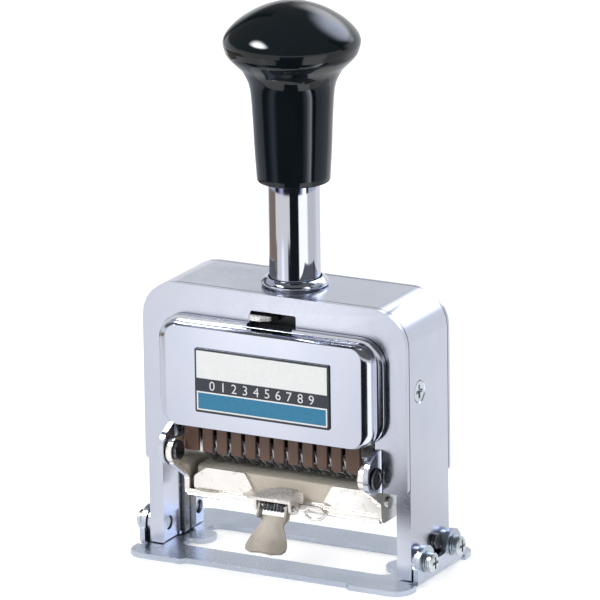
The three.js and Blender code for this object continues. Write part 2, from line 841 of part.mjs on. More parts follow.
// Leg liners in the grooves, each held by a knurled screw from outside
const liner_half = groove_half - seat_gap;
const liner_inner_x = case_inner_x - liner_proud;
const liner_outer_x = case_inner_x + groove_depth - seat_gap;
const score_x = liner_inner_x + liner_score;
pair("leg_liner", (side) => {
  const area = box2(groove_y - liner_half, groove_y + liner_half, foot_z + seat_gap, groove_top_z - seat_gap);
  const score = box2(groove_y - liner_score_half, groove_y + liner_score_half, 0, case_top_z);
  const tap = circle(knurled_y, knurled_z, knurled_shank_r + seat_gap, small_steps);
  return cut(
    prismX(side, area, liner_inner_x, liner_outer_x),
    prismX(side, score, 0, score_x),
    prismX(side, tap, score_x + seat_gap, case_half_x),
  );
}, black_steel);
pair("liner_screw", (side) => {
  const head = case_half_x + face_gap;
  const rib = knurled_head / 5;
  const profile = [
    [0, case_inner_x + seat_gap],
    [knurled_shank_r, case_inner_x + seat_gap],
    [knurled_shank_r, head],
    [knurled_r, head],
    [knurled_r, head + rib],
    [knurled_r * 0.84, head + rib * 1.5],
    [knurled_r, head + rib * 2],
    [knurled_r, head + rib * 3],
    [0, head + rib * 3],
  ].map(([r, h]) => [r, side * h]);
  return turned("X", profile, [0, knurled_y, knurled_z], small_steps);
}, black_steel);

// Outline shared by the front and the rear plate
function plateOutline() {
  return rounded([
    [-case_half_x, plate_foot_z, plate_foot_r],
    [case_half_x, plate_foot_z, plate_foot_r],
    [case_half_x, case_top_z, case_corner_r],
    [-case_half_x, case_top_z, case_corner_r],
  ], corner_steps);
}

// Front plate: mouth for the wheels, slot for the selector, bent pivot lugs and side tabs
const keeper_rivet_z = slot_low_z - (keeper_foot_low + keeper_foot_high + keeper) / 2;
const lug_root_x = mouth_half_x + lug_root;
let front = prism("Y", plateOutline(), front_plate_y, front_back_y);
front = cut(
  front,
  prism("Y", box2(-mouth_half_x, mouth_half_x, 0, mouth_top_z, mouth_r), -beyond, 0),
  prism("Y", box2(-slot_half_x, slot_half_x, slot_low_z, slot_top_z, slot_r), -beyond, 0),
);
for (const side of [1, -1]) {
  const rivet_hole = circle(side * keeper_rivet_x, keeper_rivet_z, keeper_rivet_r + pin_gap, small_steps);
  const eye = [
    [front_back_y + cut_margin, 0],
    [front_back_y + cut_margin, lug_top_z],
    [pivot_y + lug_eye_r / 2, lug_top_z, lug_shoulder_r],
    [pivot_y - lug_eye_r, pivot_z + lug_eye_r, lug_eye_r],
    [pivot_y - lug_eye_r, pivot_z - lug_eye_r, lug_eye_r * 0.95],
    [front_plate_y - cut_margin / 2, pivot_z - lug_eye_r, 0],
    [front_plate_y - cut_margin / 2, 0, 0],
  ].reverse();
  const bent = [
    [lug_root_x + seat_gap, front_back_y, 0],
    [mouth_half_x, front_back_y, lug_bend_r],
    [mouth_half_x, pivot_y - 2 * lug_eye_r, 0],
    [lug_outer_x, pivot_y - 2 * lug_eye_r, 0],
    [lug_outer_x, front_plate_y, lug_bend_r - front_plate],
    [lug_root_x + seat_gap, front_plate_y, 0],
  ].map(([x, y, r]) => [side * x, y, r]);
  if (side < 0) bent.reverse();
  const hole = circle(pivot_y, pivot_z, pivot_r + slip_gap, hole_steps);
  const strip = prism("Z", bent, plate_foot_z, lug_top_z);
  const lug = strip.intersect(prismX(side, rounded(eye, corner_steps), 0, case_half_x, [hole]));
  const room = box2(2 * front_plate_y, 0, 0, lug_top_z);
  const scoop = circle(pivot_y, pivot_z, ring_r + pin_gap, round_steps);
  const tab_low_y = front_back_y - front_plate / 2;
  const tab = box2(tab_low_y, side_screw_y + tab_reach, side_screw_z - tab_half_z, side_screw_z + tab_half_z);
  const tap = circle(side_screw_y, side_screw_z, side_bore_r, hole_steps);
  const tab_outer_x = case_inner_x - seat_gap;
  front = cut(front, prism("Y", rivet_hole, -beyond, 0), prismX(side, room, 0, lug_root_x));
  front = join(front, lug, prismX(side, tab, tab_outer_x - front_plate, tab_outer_x, [tap]));
  front = cut(front, prismX(side, scoop, lug_outer_x + pin_gap, lug_outer_x + ring + 3 * seat_gap));
}
piece("front_plate", front, chrome);

pair("side_screw", (side) => {
  const top = case_half_x - side_screw_flush;
  const end = case_inner_x - seat_gap - front_plate + pin_gap;
  const rim_r = side_screw_r - side_screw_flush;
  const profile = [
    [0, end],
    [side_shank_r, end],
    [side_shank_r, top - side_sink],
    [rim_r, top - side_screw_flush],
    [rim_r, top],
    [0, top],
  ].map(([r, h]) => [r, side * h]);
  const body = turned("X", profile, [0, side_screw_y, side_screw_z], round_steps);
  return cut(body, crossX(side, top, side_screw_y, side_screw_z, side_screw_r, side_screw_r * 0.3));
}, zinc);

// Rear plate, screwed to the backs of the legs
const rear_screw_x = case_half_x - leg / 2;
const rear_screw_z = case_top_z - rear_screw_drop;
const rear_holes = [-rear_screw_x, rear_screw_x].map((x) => {
  return circle(x, rear_screw_z, rear_shank_r + seat_gap, small_steps);
});
piece("rear_plate", prism("Y", plateOutline(), rear_inner_y, rear_plate_y, rear_holes), chrome);
pair("rear_screw", (side) => {
  const face = rear_plate_y + face_gap;
  const profile = [
    [0, rear_inner_y],
    [rear_shank_r, rear_inner_y],
    [rear_shank_r, face],
    [rear_screw_r, face],
    [rear_screw_r, face + rear_head / 2],
    [rear_screw_r * 0.6, face + rear_head],
    [0, face + rear_head],
  ];
  const body = turned("Y", profile, [side * rear_screw_x, 0, rear_screw_z], hole_steps);
  const slot_y = face + rear_head * 0.4;
  const slot = block(-rear_screw_r, rear_screw_r, slot_y, face + 2 * rear_head, -rear_slot_half, rear_slot_half);
  return cut(body, slot.translate([side * rear_screw_x, 0, rear_screw_z]));
}, zinc);

// Raised front cover: a stepped shell built from rings of rounded rectangles
const between = (a, b, share) => a + (b - a) * share;
const cover_back_y = front_plate_y - seat_gap;
const tier_y = cover_back_y - cover_step;
const neck_half_x = cover_half_x - cover_ledge;
const shoulder_y = cover_front_y + cover_shoulder;
const topAt = (share) => between(cover_top_z, face_top_z, share);
const lowAt = (share) => between(cover_low_z, face_low_z, share);
const radiusAt = (share) => between(cover_r, face_r, share);
const cover_rings = [
  [cover_half_x, cover_top_z, cover_low_z, cover_r, cover_back_y],
  [cover_half_x, cover_top_z, cover_low_z, cover_r, tier_y + cover_lip],
  [cover_half_x - cover_lip, cover_top_z - cover_lip * 0.8, lowAt(0.2), radiusAt(0.12), tier_y],
  [neck_half_x + cover_roll * 0.75, topAt(0.5), lowAt(0.4), radiusAt(0.49), tier_y - cover_roll / 4],
  [neck_half_x, topAt(0.6), lowAt(0.4), radiusAt(0.56), tier_y - cover_roll],
  [neck_half_x, topAt(0.6), lowAt(0.4), radiusAt(0.56), shoulder_y],
  [between(neck_half_x, face_half_x, 0.3), topAt(0.7), lowAt(0.6), radiusAt(0.68), between(shoulder_y, cover_front_y, 0.5)],
  [between(neck_half_x, face_half_x, 0.7), topAt(0.85), lowAt(0.8), radiusAt(0.9), between(shoulder_y, cover_front_y, 0.82)],
  [face_half_x, face_top_z, face_low_z, face_r, cover_front_y],
];
function shellRing([half, top, low, r, y], skin = 0) {
  const radius = skin === 0 ? r : Math.max(r - skin, least_skin_r);
  const corners = box2(-half + skin, half - skin, low + skin, top - skin, radius);
  return rounded(corners).map((p) => new THREE.Vector3(p.x, y + skin, p.y));
}
const open_ring = [cover_half_x, cover_top_z, cover_low_z, cover_r, cover_back_y + cut_margin];
const inner_rings = [open_ring, cover_rings[2], cover_rings[4], cover_rings[6], cover_rings[8]];
const cover_outside = loft(cover_rings.map((ring) => shellRing(ring)));
const cover_inside = loft(inner_rings.map((ring) => shellRing(ring, cover_skin)));
const rim_gap = block(-slot_half_x, slot_half_x, tier_y - cover_roll / 8, 0, slot_low_z, case_top_z);
piece("front_cover", cut(cover_outside, cover_inside, rim_gap), chrome);

const label_back_y = cover_front_y - label_seat;
const label_half_x = face_half_x - label_margin;
const label_low_z = face_low_z + label_margin_low;
const label_high_z = face_top_z - label_margin_top;
const label_area = box2(-label_half_x, label_half_x, label_low_z, label_high_z, label_r);
piece("number_plate", prism("Y", label_area, label_back_y - label_plate, label_back_y), enamel);

// Pivot studs: a ring-headed rivet in each lug
pair("pivot_stud", (side) => {
  const out = lug_outer_x + seat_gap;
  const low = hub_inner_x - rivet_head_end;
  const profile = [
    [0, low],
    [pivot_r * 1.35, low],
    [pivot_r * 1.5, low + rivet_chamfer],
    [pivot_r * 1.5, hub_inner_x - seat_gap],
    [pivot_r, hub_inner_x - seat_gap],
    [pivot_r, out],
    [ring_r, out],
    [ring_r, out + ring * 0.8],
    [ring_r * 0.9, out + ring],
    [ring_r * 0.62, out + ring],
    [ring_r * 0.55, out + ring * 0.6],
    [ring_r * 0.38, out + ring * 0.6],
    [ring_r * 0.3, out + ring * 0.85],
    [0, out + ring * 0.85],
  ].map(([r, h]) => [r, side * h]);
  return turned("X", profile, [0, pivot_y, pivot_z], round_steps);
}, chrome);

// Collar on the roof round the shaft, and the yoke under the roof that carries the return spring
const collar_bore = shaft_r + slip_gap;
const collar_seat_z = case_top_z + seat_gap;
const collar_top_z = case_top_z + collar_over;
piece("shaft_collar", turned("Z", [
  [collar_bore, roof_z],
  [collar_neck_r - seat_gap, roof_z],
  [collar_neck_r - seat_gap, collar_seat_z],
  [collar_r - collar_chamfer, collar_seat_z],
  [collar_r, collar_seat_z + collar_chamfer],
  [collar_r - collar_chamfer, collar_seat_z + 2 * collar_chamfer],
  [collar_neck_r, collar_top_z - collar_roll],
  [collar_bore + collar_roll / 2, collar_top_z],
  [collar_bore, collar_top_z],
  [collar_bore, roof_z],
], [0, 0, 0], 22), chrome);

const strap_in = yoke_half_x - yoke;
const yoke_top = roof_z - seat_gap;
piece("spring_yoke", prism("Y", [
  [-yoke_half_x, yoke_low_z, yoke_fillet_r],
  [yoke_half_x, yoke_low_z, yoke_fillet_r],
  [yoke_half_x, yoke_top - yoke, 0],
  [yoke_foot_x, yoke_top - yoke, 0],
  [yoke_foot_x, yoke_top, 0],
  [strap_in, yoke_top, yoke_fillet_r],
  [strap_in, bar_top_z, yoke_fillet_r / 2],
  [-strap_in, bar_top_z, yoke_fillet_r / 2],
  [-strap_in, yoke_top, yoke_fillet_r],
  [-yoke_foot_x, yoke_top, 0],
  [-yoke_foot_x, yoke_top - yoke, 0],
  [-yoke_half_x, yoke_top - yoke, 0],
], -yoke_half_y, yoke_half_y), steel);

// Plunger shaft: a tube, blind at the top, forked over the yoke
const fork_top_z = bar_top_z + stroke + fork_end_gap;
const shaft_low_z = bridge_high_z - shaft_seat + seat_gap;
const shaft = turned("Z", [
  [0, bore_top_z],
  [shaft_bore_r, bore_top_z],
  [shaft_bore_r, shaft_low_z],
  [shaft_r, shaft_low_z],
  [shaft_r, shaft_shoulder_z],
  [spigot_r, shaft_shoulder_z],
  [spigot_r, spigot_top_z],
  [0, spigot_top_z],
], [0, 0, 0], shaft_steps);
piece("plunger_shaft", cut(shaft, block(-beyond, beyond, -fork_half_y, fork_half_y, 0, fork_top_z)), chrome);

// Knob: a mushroom head on a waisted grip, bored for the shaft
const flank = [
  [knob_waist_r, knob_foot_z + knob_grip * 0.05],
  [knob_waist_r * 1.045, knob_foot_z + knob_grip * 0.24],
  [knob_waist_r * 1.078, knob_foot_z + knob_grip * 0.44],
  [knob_waist_r * 1.12, knob_foot_z + knob_grip * 0.61],
  [between(knob_waist_r, knob_r, 0.2), knob_foot_z + knob_grip * 0.69],
  [between(knob_waist_r, knob_r, 0.305), knob_foot_z + knob_grip * 0.747],
  [between(knob_waist_r, knob_r, 0.46), knob_foot_z + knob_grip * 0.803],
  [between(knob_waist_r, knob_r, 0.73), knob_foot_z + knob_grip * 0.862],
  [between(knob_waist_r, knob_r, 0.894), knob_foot_z + knob_grip * 0.905],
  [between(knob_waist_r, knob_r, 0.965), knob_foot_z + knob_grip * 0.946],
  [knob_r, knob_wide_z],
  [knob_r * 0.932, knob_wide_z + knob_dome * 0.235],
  [knob_r * 0.76, knob_wide_z + knob_dome * 0.52],
  [knob_r * 0.5, knob_wide_z + knob_dome * 0.79],
  [knob_r * 0.23, knob_wide_z + knob_dome * 0.955],
  [0, knob_top_z],
];
const curve = new THREE.SplineCurve(flank.map(([r, z]) => new THREE.Vector2(r, z)));
const skirt = curve.getPoints(19).map((p) => [Math.min(Math.max(p.x, 0), knob_r), p.y]);
skirt[skirt.length - 1] = [0, knob_top_z];
const knob_bore_r = shaft_r + seat_gap;
const knob_recess_r = knob_waist_r - knob_rim;
const knob_profile = [
  [0, spigot_top_z + seat_gap],
  [spigot_r + seat_gap, spigot_top_z + seat_gap],
  [spigot_r + seat_gap, shaft_shoulder_z + seat_gap],
  [knob_bore_r, shaft_shoulder_z + seat_gap],
  [knob_bore_r, knob_foot_z + knob_recess],
  [knob_recess_r, knob_foot_z + knob_recess],
  [knob_recess_r, knob_foot_z],
  [knob_waist_r - knob_edge * 1.8, knob_foot_z],
  [knob_waist_r - knob_edge / 2, knob_foot_z + knob_edge],
  ...skirt,
];
piece("knob", turned("Z", knob_profile, [0, 0, 0], knob_steps), black_gloss);

// Return spring inside the shaft, on the yoke
const spring_low_z = bar_top_z + seat_gap + spring_wire_r;
const spring_high_z = bore_top_z - seat_gap - spring_wire_r;
const spring_path = new Helix((t) => {
  const angle = t * spring_curls * 2 * Math.PI;
  const z = spring_low_z + (spring_high_z - spring_low_z) * t;
  return new THREE.Vector3(spring_r * Math.cos(angle), spring_r * Math.sin(angle), z);
});
const spring_section = new THREE.Shape(circle(0, 0, spring_wire_r, wire_sides));
const spring_shape = { steps: spring_curls * curl_steps, bevelEnabled: false, extrudePath: spring_path };
piece("return_spring", solid(new THREE.ExtrudeGeometry(spring_section, spring_shape)), steel);
leastGap("return_spring", spring_path.getPoints(spring_curls * curl_steps), spring_wire_r);

// Carriage bridge between the two carriage sides
const bridge_low_x = bank_low_x + seat_gap;
const bridge_high_x = bank_high_x - seat_gap;
const bridge_screw_y = axle_y + bridge_screw_back;
const bridge_screw_z = (bridge_low_z + bridge_high_z) / 2;
const bridge_bore_r = bridge_screw_r + seat_gap;
const bridge_area = box2(bridge_low_x, bridge_high_x, bridge_front_y, bridge_back_y, bridge_r);
const fork_slot_x = yoke_half_x + fork_gap;
const bridgeTap = (x) => {
  const reach = bridge_screw_long - side_plate + seat_gap;
  return rod("X", bridge_bore_r, x - reach, x + reach, [0, bridge_screw_y, bridge_screw_z], small_steps);
};
piece("carriage_bridge", cut(
  prism("Z", bridge_area, bridge_low_z, bridge_high_z),
  rod("Z", shaft_bore_r, 0, case_top_z),
  rod("Z", shaft_r + seat_gap, bridge_high_z - shaft_seat, case_top_z, [0, 0, 0], shaft_steps),
  block(-fork_slot_x, fork_slot_x, -fork_half_y, fork_half_y, 0, case_top_z),
  bridgeTap(bank_low_x),
  bridgeTap(bank_high_x),
), steel);

const comb_back_y = comb_front_y + comb;
const side_front_y = comb_back_y + seat_gap;
const side_foot_z = comb_low_z - side_foot;
const side_outline = rounded([
  [side_front_y, comb_low_z + side_heel, side_fillet_r / 2],
  [between(side_front_y, axle_y, 0.37), comb_low_z + side_heel, side_fillet_r],
  [between(side_front_y, axle_y, 0.55), side_foot_z, side_fillet_r],
  [axle_y + side_heel, side_foot_z, side_fillet_r],
  [axle_y + side_heel * 1.5, axle_z + cut_margin, side_fillet_r],
  [bridge_back_y, pawl_rod_z - side_heel, side_fillet_r],
  [bridge_back_y, bridge_high_z, side_fillet_r / 2],
  [bridge_front_y, bridge_high_z, side_fillet_r / 2],
  [side_front_y, comb_top_z, side_fillet_r / 2],
]);
const side_holes = [
  circle(axle_y, axle_z, axle_r + slip_gap, hole_steps),
  circle(pawl_rod_y, pawl_rod_z, pawl_rod_r + seat_gap, small_steps),
  circle(detent_y, detent_z, pawl_rod_r + seat_gap, small_steps),
  circle(bridge_screw_y, bridge_screw_z, bridge_bore_r, small_steps),
];
piece("carriage_side_left", prism("X", side_outline, bank_low_x - side_plate, bank_low_x, side_holes), steel);
piece("carriage_side_right", prism("X", side_outline, bank_high_x, bank_high_x + side_plate, side_holes), steel);
for (const [name, way, x] of [["left", -1, bank_low_x - side_plate], ["right", 1, bank_high_x + side_plate]]) {
  const face = x + way * face_gap;
  const profile = [
    [0, -bridge_screw_long],
    [bridge_screw_r, -bridge_screw_long],
    [bridge_screw_r, 0],
    [bridge_screw_head_r, 0],
    [bridge_screw_head_r, bridge_screw_head / 2],
    [bridge_screw_head_r * 0.7, bridge_screw_head],
    [0, bridge_screw_head],
  ].map(([r, h]) => [r, face + way * h]);
  const at = [0, bridge_screw_y, bridge_screw_z];
  piece("bridge_screw_" + name, turned("X", profile, at, small_steps), zinc);
}

// Wheel axle; its thin ends ride in the cam slots of the ink bracket
const axle_end_x = arm_outer_x + face_gap;
const thick_low_x = bank_low_x - side_plate - seat_gap;
const thick_high_x = bank_high_x + side_plate + seat_gap;
piece("wheel_axle", turned("X", [
  [0, -axle_end_x],
  [follower_r, -axle_end_x],
  [follower_r, thick_low_x],
  [axle_r, thick_low_x],
  [axle_r, thick_high_x],
  [follower_r, thick_high_x],
  [follower_r, axle_end_x],
  [0, axle_end_x],
], [0, axle_y, axle_z]), steel);

// Digit guard: a comb with a slot in front of each wheel
const wheelX = (i) => bank_x + (i - (wheel_count - 1) / 2) * wheel_pitch;
const comb_left_x = bank_low_x - side_plate - comb_overhang;
const comb_right_x = bank_high_x + side_plate + comb_overhang;
const guard_outline = [[comb_left_x, comb_top_z, bridge_r], [comb_left_x, comb_low_z, comb_end_r]];
for (let i = 0; i < wheel_count; i++) {
  const [a, b] = [wheelX(i) - comb_slot / 2, wheelX(i) + comb_slot / 2];
  guard_outline.push([a, comb_low_z, 0], [a, comb_slot_top_z, 0], [b, comb_slot_top_z, 0], [b, comb_low_z, 0]);
}
guard_outline.push([comb_right_x, comb_low_z, comb_end_r], [comb_right_x, comb_top_z, bridge_r]);
piece("digit_guard", prism("Y", guard_outline, comb_front_y, comb_back_y), phenolic);

// Number wheels: ten type blocks round a rim, and a ratchet ring on the left face
const wheel_half = (type_width + ratchet_width) / 2;
for (let i = 0; i < wheel_count; i++) {
  const x = wheelX(i);
  const rim = [];
  const teeth = [];
  const point = (r, angle) => new THREE.Vector2(axle_y + r * Math.cos(angle), axle_z + r * Math.sin(angle));
  for (let k = 0; k < digit_count; k++) {
    const mid = -Math.PI / 2 + (2 * Math.PI * k) / digit_count;
    const valley_r = wheel_r - type_depth;
    rim.push(point(wheel_r, mid - type_half_deg * deg), point(wheel_r, mid + type_half_deg * deg));
    rim.push(point(valley_r, mid + 15 * deg), point(valley_r, mid + 21 * deg));
    teeth.push(point(ratchet_r, mid), point(ratchet_root_r, mid + 7 * deg));
  }
  const bore = circle(axle_y, axle_z, axle_r + slip_gap, 10);
  const split_x = x + wheel_half - type_width;
  const body = prism("X", rim, split_x, x + wheel_half, [bore]);
  const ratchet = prism("X", teeth, x - wheel_half, split_x + pin_gap, [bore]);
  piece("number_wheel_" + String(i + 1).padStart(2, "0"), join(body, ratchet), steel);
}

// Feed pawl and detent comb: thin fingers that reach into the gaps beside the ratchets
function fingers(y, z, hub, bore) {
  const way = new THREE.Vector2(axle_y - y, axle_z - z).normalize();
  const across = new THREE.Vector2(-way.y, way.x);
  const reach = Math.hypot(axle_y - y, axle_z - z) - ratchet_r - finger_gap;
  const corner = (along, off) => [y + way.x * along + across.x * off, z + way.y * along + across.y * off];
  const holes = bore > 0 ? [circle(y, z, bore, small_steps)] : [];
  let body = prism("X", circle(y, z, hub, hole_steps), bridge_low_x, bridge_high_x, holes);
  for (let i = 0; i < wheel_count; i++) {
    const x = wheelX(i) + wheel_half - type_width - (wheel_pitch - type_width) / 2;
    const blade = [
      corner(hub * 0.85, finger_root),
      corner(hub * 0.85, -finger_root),
      corner(reach, -finger_tip),
      corner(reach, finger_tip),
    ];
    const area = THREE.ShapeUtils.area(blade.map(([a, b]) => new THREE.Vector2(a, b)));
    body = join(body, prism("X", area < 0 ? blade.reverse() : blade, x - finger / 2, x + finger / 2));
  }
  return body;
}
const rod_low_x = bank_low_x - side_plate - rod_proud;
const rod_high_x = bank_high_x + side_plate + rod_proud;
const pawl_bore_r = pawl_rod_r + slip_gap;
piece("pawl_rod", rod("X", pawl_rod_r, rod_low_x, rod_high_x, [0, pawl_rod_y, pawl_rod_z], small_steps), steel);
piece("feed_pawl", fingers(pawl_rod_y, pawl_rod_z, pawl_bore_r + pawl_wall, pawl_bore_r), black_steel);
const detent_rod = rod("X", pawl_rod_r, rod_low_x, rod_high_x, [0, detent_y, detent_z], small_steps);
piece("detent_comb", join(fingers(detent_y, detent_z, pawl_rod_r + detent_wall, 0), detent_rod), steel);

// Action selector: a sliding plate behind the front plate with a finger tab in the slot
const selector_front_y = front_back_y + seat_gap;
const selector_back_y = selector_front_y + selector_plate;
const selector_low_z = slot_low_z - selector_under;
const selector_high_z = slot_low_z + selector_over;
const selector_tip_y = front_plate_y - selector_reach;
const tab_z = slot_low_z + selector_tab_over;
const tab_outline = rounded([
  [-slot_half_x + pin_gap, selector_front_y + selector_plate / 2],
  [selector_tab_right_x - pin_gap, selector_front_y + selector_plate / 2],
  [selector_tab_right_x, front_plate_y - pin_gap, selector_edge],
  [selector_tip_right_x, selector_tip_y, selector_tip_r],
  [selector_tip_left_x, selector_tip_y, selector_tip_r],
  [-slot_half_x, front_plate_y - seat_gap, selector_edge],
].reverse());
const selector_area = box2(selector_left_x, selector_right_x, selector_low_z, selector_high_z, selector_r);
piece("action_selector", join(
  prism("Y", selector_area, selector_front_y, selector_back_y),
  prism("Z", tab_outline, tab_z, tab_z + selector_tab),
), chrome);

// Keeper: a folded strip riveted behind the front plate, over the selector
const keeper_y = selector_back_y + slip_gap;
const keeper_foot_y = front_back_y + face_gap;
const keeper_low_z = slot_low_z - keeper_foot_low;
const keeper_bend_z = slot_low_z - keeper_foot_high;
const keeper_top_z = slot_top_z + keeper_over;
const keeper_profile = rounded([
  [keeper_foot_y, keeper_low_z],
  [keeper_foot_y + keeper, keeper_low_z],
  [keeper_foot_y + keeper, keeper_bend_z - keeper, keeper_fillet_r],
  [keeper_y + keeper, keeper_bend_z, keeper],
  [keeper_y + keeper, keeper_top_z],
  [keeper_y, keeper_top_z],
  [keeper_y, keeper_bend_z + keeper * 0.6, keeper_fillet_r],
  [keeper_foot_y, keeper_bend_z - keeper * 0.4, keeper],
], 2);
let keeper_body = prism("X", keeper_profile, -keeper_half_x, keeper_half_x);
for (const side of [1, -1]) {
  const bore = circle(side * keeper_rivet_x, keeper_rivet_z, keeper_rivet_r + pin_gap, small_steps);
  keeper_body = cut(keeper_body, prism("Y", bore, -beyond, 0));
}
piece("selector_keeper", keeper_body, steel);
pair("keeper_rivet", (side) => {
  const front_face = front_plate_y - face_gap;
  const back_face = keeper_foot_y + keeper + face_gap;
  const head_r = keeper_rivet_r + keeper_rivet_lip;
  const profile = [
    [0, front_face - keeper_rivet_head],
    [head_r * 0.6, front_face - keeper_rivet_head],
    [head_r, front_face - keeper_rivet_head * 0.4],
    [head_r, front_face],
    [keeper_rivet_r, front_face],
    [keeper_rivet_r, back_face],
    [head_r, back_face],
    [head_r, back_face + keeper_rivet_head * 0.4],
    [head_r * 0.6, back_face + keeper_rivet_head],
    [0, back_face + keeper_rivet_head],
  ];
  return turned("Y", profile, [side * keeper_rivet_x, 0, keeper_rivet_z], 10);
}, steel);

// Ink bracket: two cam-slotted arms joined by a folded tray
function followerAt(share) {
  const dy = axle_y - pivot_y;
  const dz = axle_z - stroke * share - pivot_z;
  const turn = swing_deg * share * deg;
  const y = dy * Math.cos(turn) - dz * Math.sin(turn);
  const z = dy * Math.sin(turn) + dz * Math.cos(turn);
  return new THREE.Vector2(pivot_y + y, pivot_z + z);
}

function camSlot(half) {
  const left = [];
  const right = [];
  const samples = 9;
  const ahead = 0.001;
  for (let i = 0; i <= samples + 1; i++) {
    const share = Math.min(i / samples, 1);
    const here = followerAt(share);
    const way = followerAt(share + ahead).sub(followerAt(share - ahead)).normalize();
    if (i > samples) here.add(way.clone().multiplyScalar(2 * half));
    left.push(new THREE.Vector2(here.x - way.y * half, here.y + way.x * half));
    right.push(new THREE.Vector2(here.x + way.y * half, here.y - way.x * half));
  }
  const start = followerAt(0);
  const way = followerAt(ahead).sub(followerAt(-ahead)).normalize();
  const from = Math.atan2(-way.x, way.y);
  const cap = [];
  for (let k = 1; k < 6; k++) {
    const angle = from - (Math.PI * k) / 6;
    cap.push(new THREE.Vector2(start.x + half * Math.cos(angle), start.y + half * Math.sin(angle)));
  }
  return [...right, ...left.reverse(), ...cap.reverse()];
}

function capsule(a, b, r) {
  const way = b.clone().sub(a).angle();
  const out = [];
  for (const [end, turn] of [[b, -Math.PI / 2], [a, Math.PI / 2]]) {
    for (let k = 0; k <= 6; k++) {
      const angle = way + turn + (Math.PI * k) / 6;
      out.push(new THREE.Vector2(end.x + r * Math.cos(angle), end.y + r * Math.sin(angle)));
    }
  }
  return out;
}

const slot_half = follower_r + slot_slack;
function bracketArm(side) {
  const inner = arm_inner_x;
  const outer = arm_outer_x;
  const web = rounded([
    [pivot_y - hub_r / 2, pivot_z - hub_r + pin_gap, rivet_chamfer],
    [tray_front_y, tray_low_z + arm_ledge, arm_fillet_r],
    [tray_front_y, tray_low_z, bend_out_r],
    [tray_flat_y, tray_low_z, bend_out_r],
    [tray_back_y, tray_back_z - bend_in_r / 2, bend_in_r],
    [tray_back_y, tray_back_top_z + hub_r * 0.8, bend_out_r],
    [axle_y + follower_r * 3, axle_z - bend_in_r, bend_out_r],
    [axle_y - follower_r * 2, axle_z + bend_out_r, bend_out_r],
    [pivot_y + hub_r * 0.8, pivot_z + hub_r * 0.85, arm_fillet_r],
    [pivot_y - rivet_chamfer, pivot_z + hub_r - rivet_chamfer, rivet_chamfer],
  ]);
  let body = prismX(side, web, inner, outer);
  const marks = [0, 0.3, 0.62, 1].map(followerAt);
  for (let i = 0; i + 1 < marks.length; i++) {
    body = join(body, prismX(side, capsule(marks[i], marks[i + 1], slot_half + slot_wall), inner, outer));
  }
  const disc = prismX(side, circle(pivot_y, pivot_z, swing_limit_r, 32), inner - cut_margin, outer + cut_margin);
  const rivet = circle(pivot_y + rivet_inset, tray_low_z + rivet_over, rivet_r, hole_steps);
  body = join(body.intersect(disc), prismX(side, rivet, inner, outer + rivet_head));
  body = cut(body, prismX(side, camSlot(slot_half), inner - cut_margin, outer + cut_margin));
  body = join(body, prismX(side, circle(pivot_y, pivot_z, hub_r, round_steps), hub_inner_x, outer));
  return cut(body, prismX(side, circle(pivot_y, pivot_z, pivot_r + slip_gap, hole_steps), 0, 2 * outer));
}

const tray_profile = rounded([
  [tray_front_y, tray_lip_z, tray_sheet / 3],
  [tray_front_y, tray_low_z, bend_in_r],
  [tray_flat_y, tray_low_z, bend_out_r],
  [tray_back_y, tray_back_z - bend_in_r / 2, bend_in_r],
  [tray_back_y, tray_back_top_z, 0],
  [tray_back_y - tray_sheet, tray_back_top_z, 0],
  [tray_back_y - tray_sheet, tray_back_z + pin_gap, tray_sheet / 3],
  [tray_flat_y - pin_gap, tray_low_z + tray_sheet, bend_in_r],
  [tray_front_y + tray_sheet, tray_low_z + tray_sheet, 0],
  [tray_front_y + tray_sheet, tray_lip_z, tray_sheet / 3],
]);
const tray = prism("X", tray_profile, -arm_inner_x - arm / 2, arm_inner_x + arm / 2);
piece("ink_bracket", join(bracketArm(1), bracketArm(-1), tray), nickel);

// Pad case: folded sheet with two front tabs that hold the felt
const case_in_front = tray_front_y + tray_sheet + case_slack;
const case_low = tray_low_z + tray_sheet + seat_gap;
const case_back = tray_back_y - tray_sheet - seat_gap;
const felt_top = stroke - seat_gap;
const case_floor = [
  [case_in_front, case_low + pad_lip],
  [case_in_front, case_low],
  [tray_flat_y - case_sheet, case_low],
  [case_back, tray_back_z + pad_tab_low],
  [case_back, tray_back_top_z],
  [case_back - case_sheet, tray_back_top_z],
  [case_back - case_sheet, tray_back_z + pad_tab_low * 1.5],
  [tray_flat_y - case_sheet - pin_gap, case_low + case_sheet],
  [case_in_front + case_sheet, case_low + case_sheet],
  [case_in_front + case_sheet, case_low + pad_lip],
].map(([y, z]) => [y, z, 0]);
const tab_low = case_low + pad_tab_low;
const pad_tab_top_z = felt_top - pad_tab_drop;
const padTab = (way, inner) => {
  const tab = [
    [way * pad_case_half_x, tab_low, pad_tab_r / 2],
    [inner - way * pad_tab_slope, tab_low, 0],
    [inner - way * pad_tab_slope, tab_low + pad_lip, felt_r],
    [inner, pad_tab_top_z, felt_r],
    [way * (pad_case_half_x - pad_tab_inset), pad_tab_top_z, pad_tab_r],
    [way * pad_case_half_x, pad_tab_top_z - pad_tab_shoulder, pad_tab_r],
  ];
  const outline = way > 0 ? tab.reverse() : tab;
  return prism("Y", outline, case_in_front, case_in_front + case_sheet);
};
piece("pad_case", join(
  prism("X", case_floor, -pad_case_half_x, pad_case_half_x),
  padTab(-1, pad_tab_left_x),
  padTab(1, pad_tab_right_x),
), nickel);

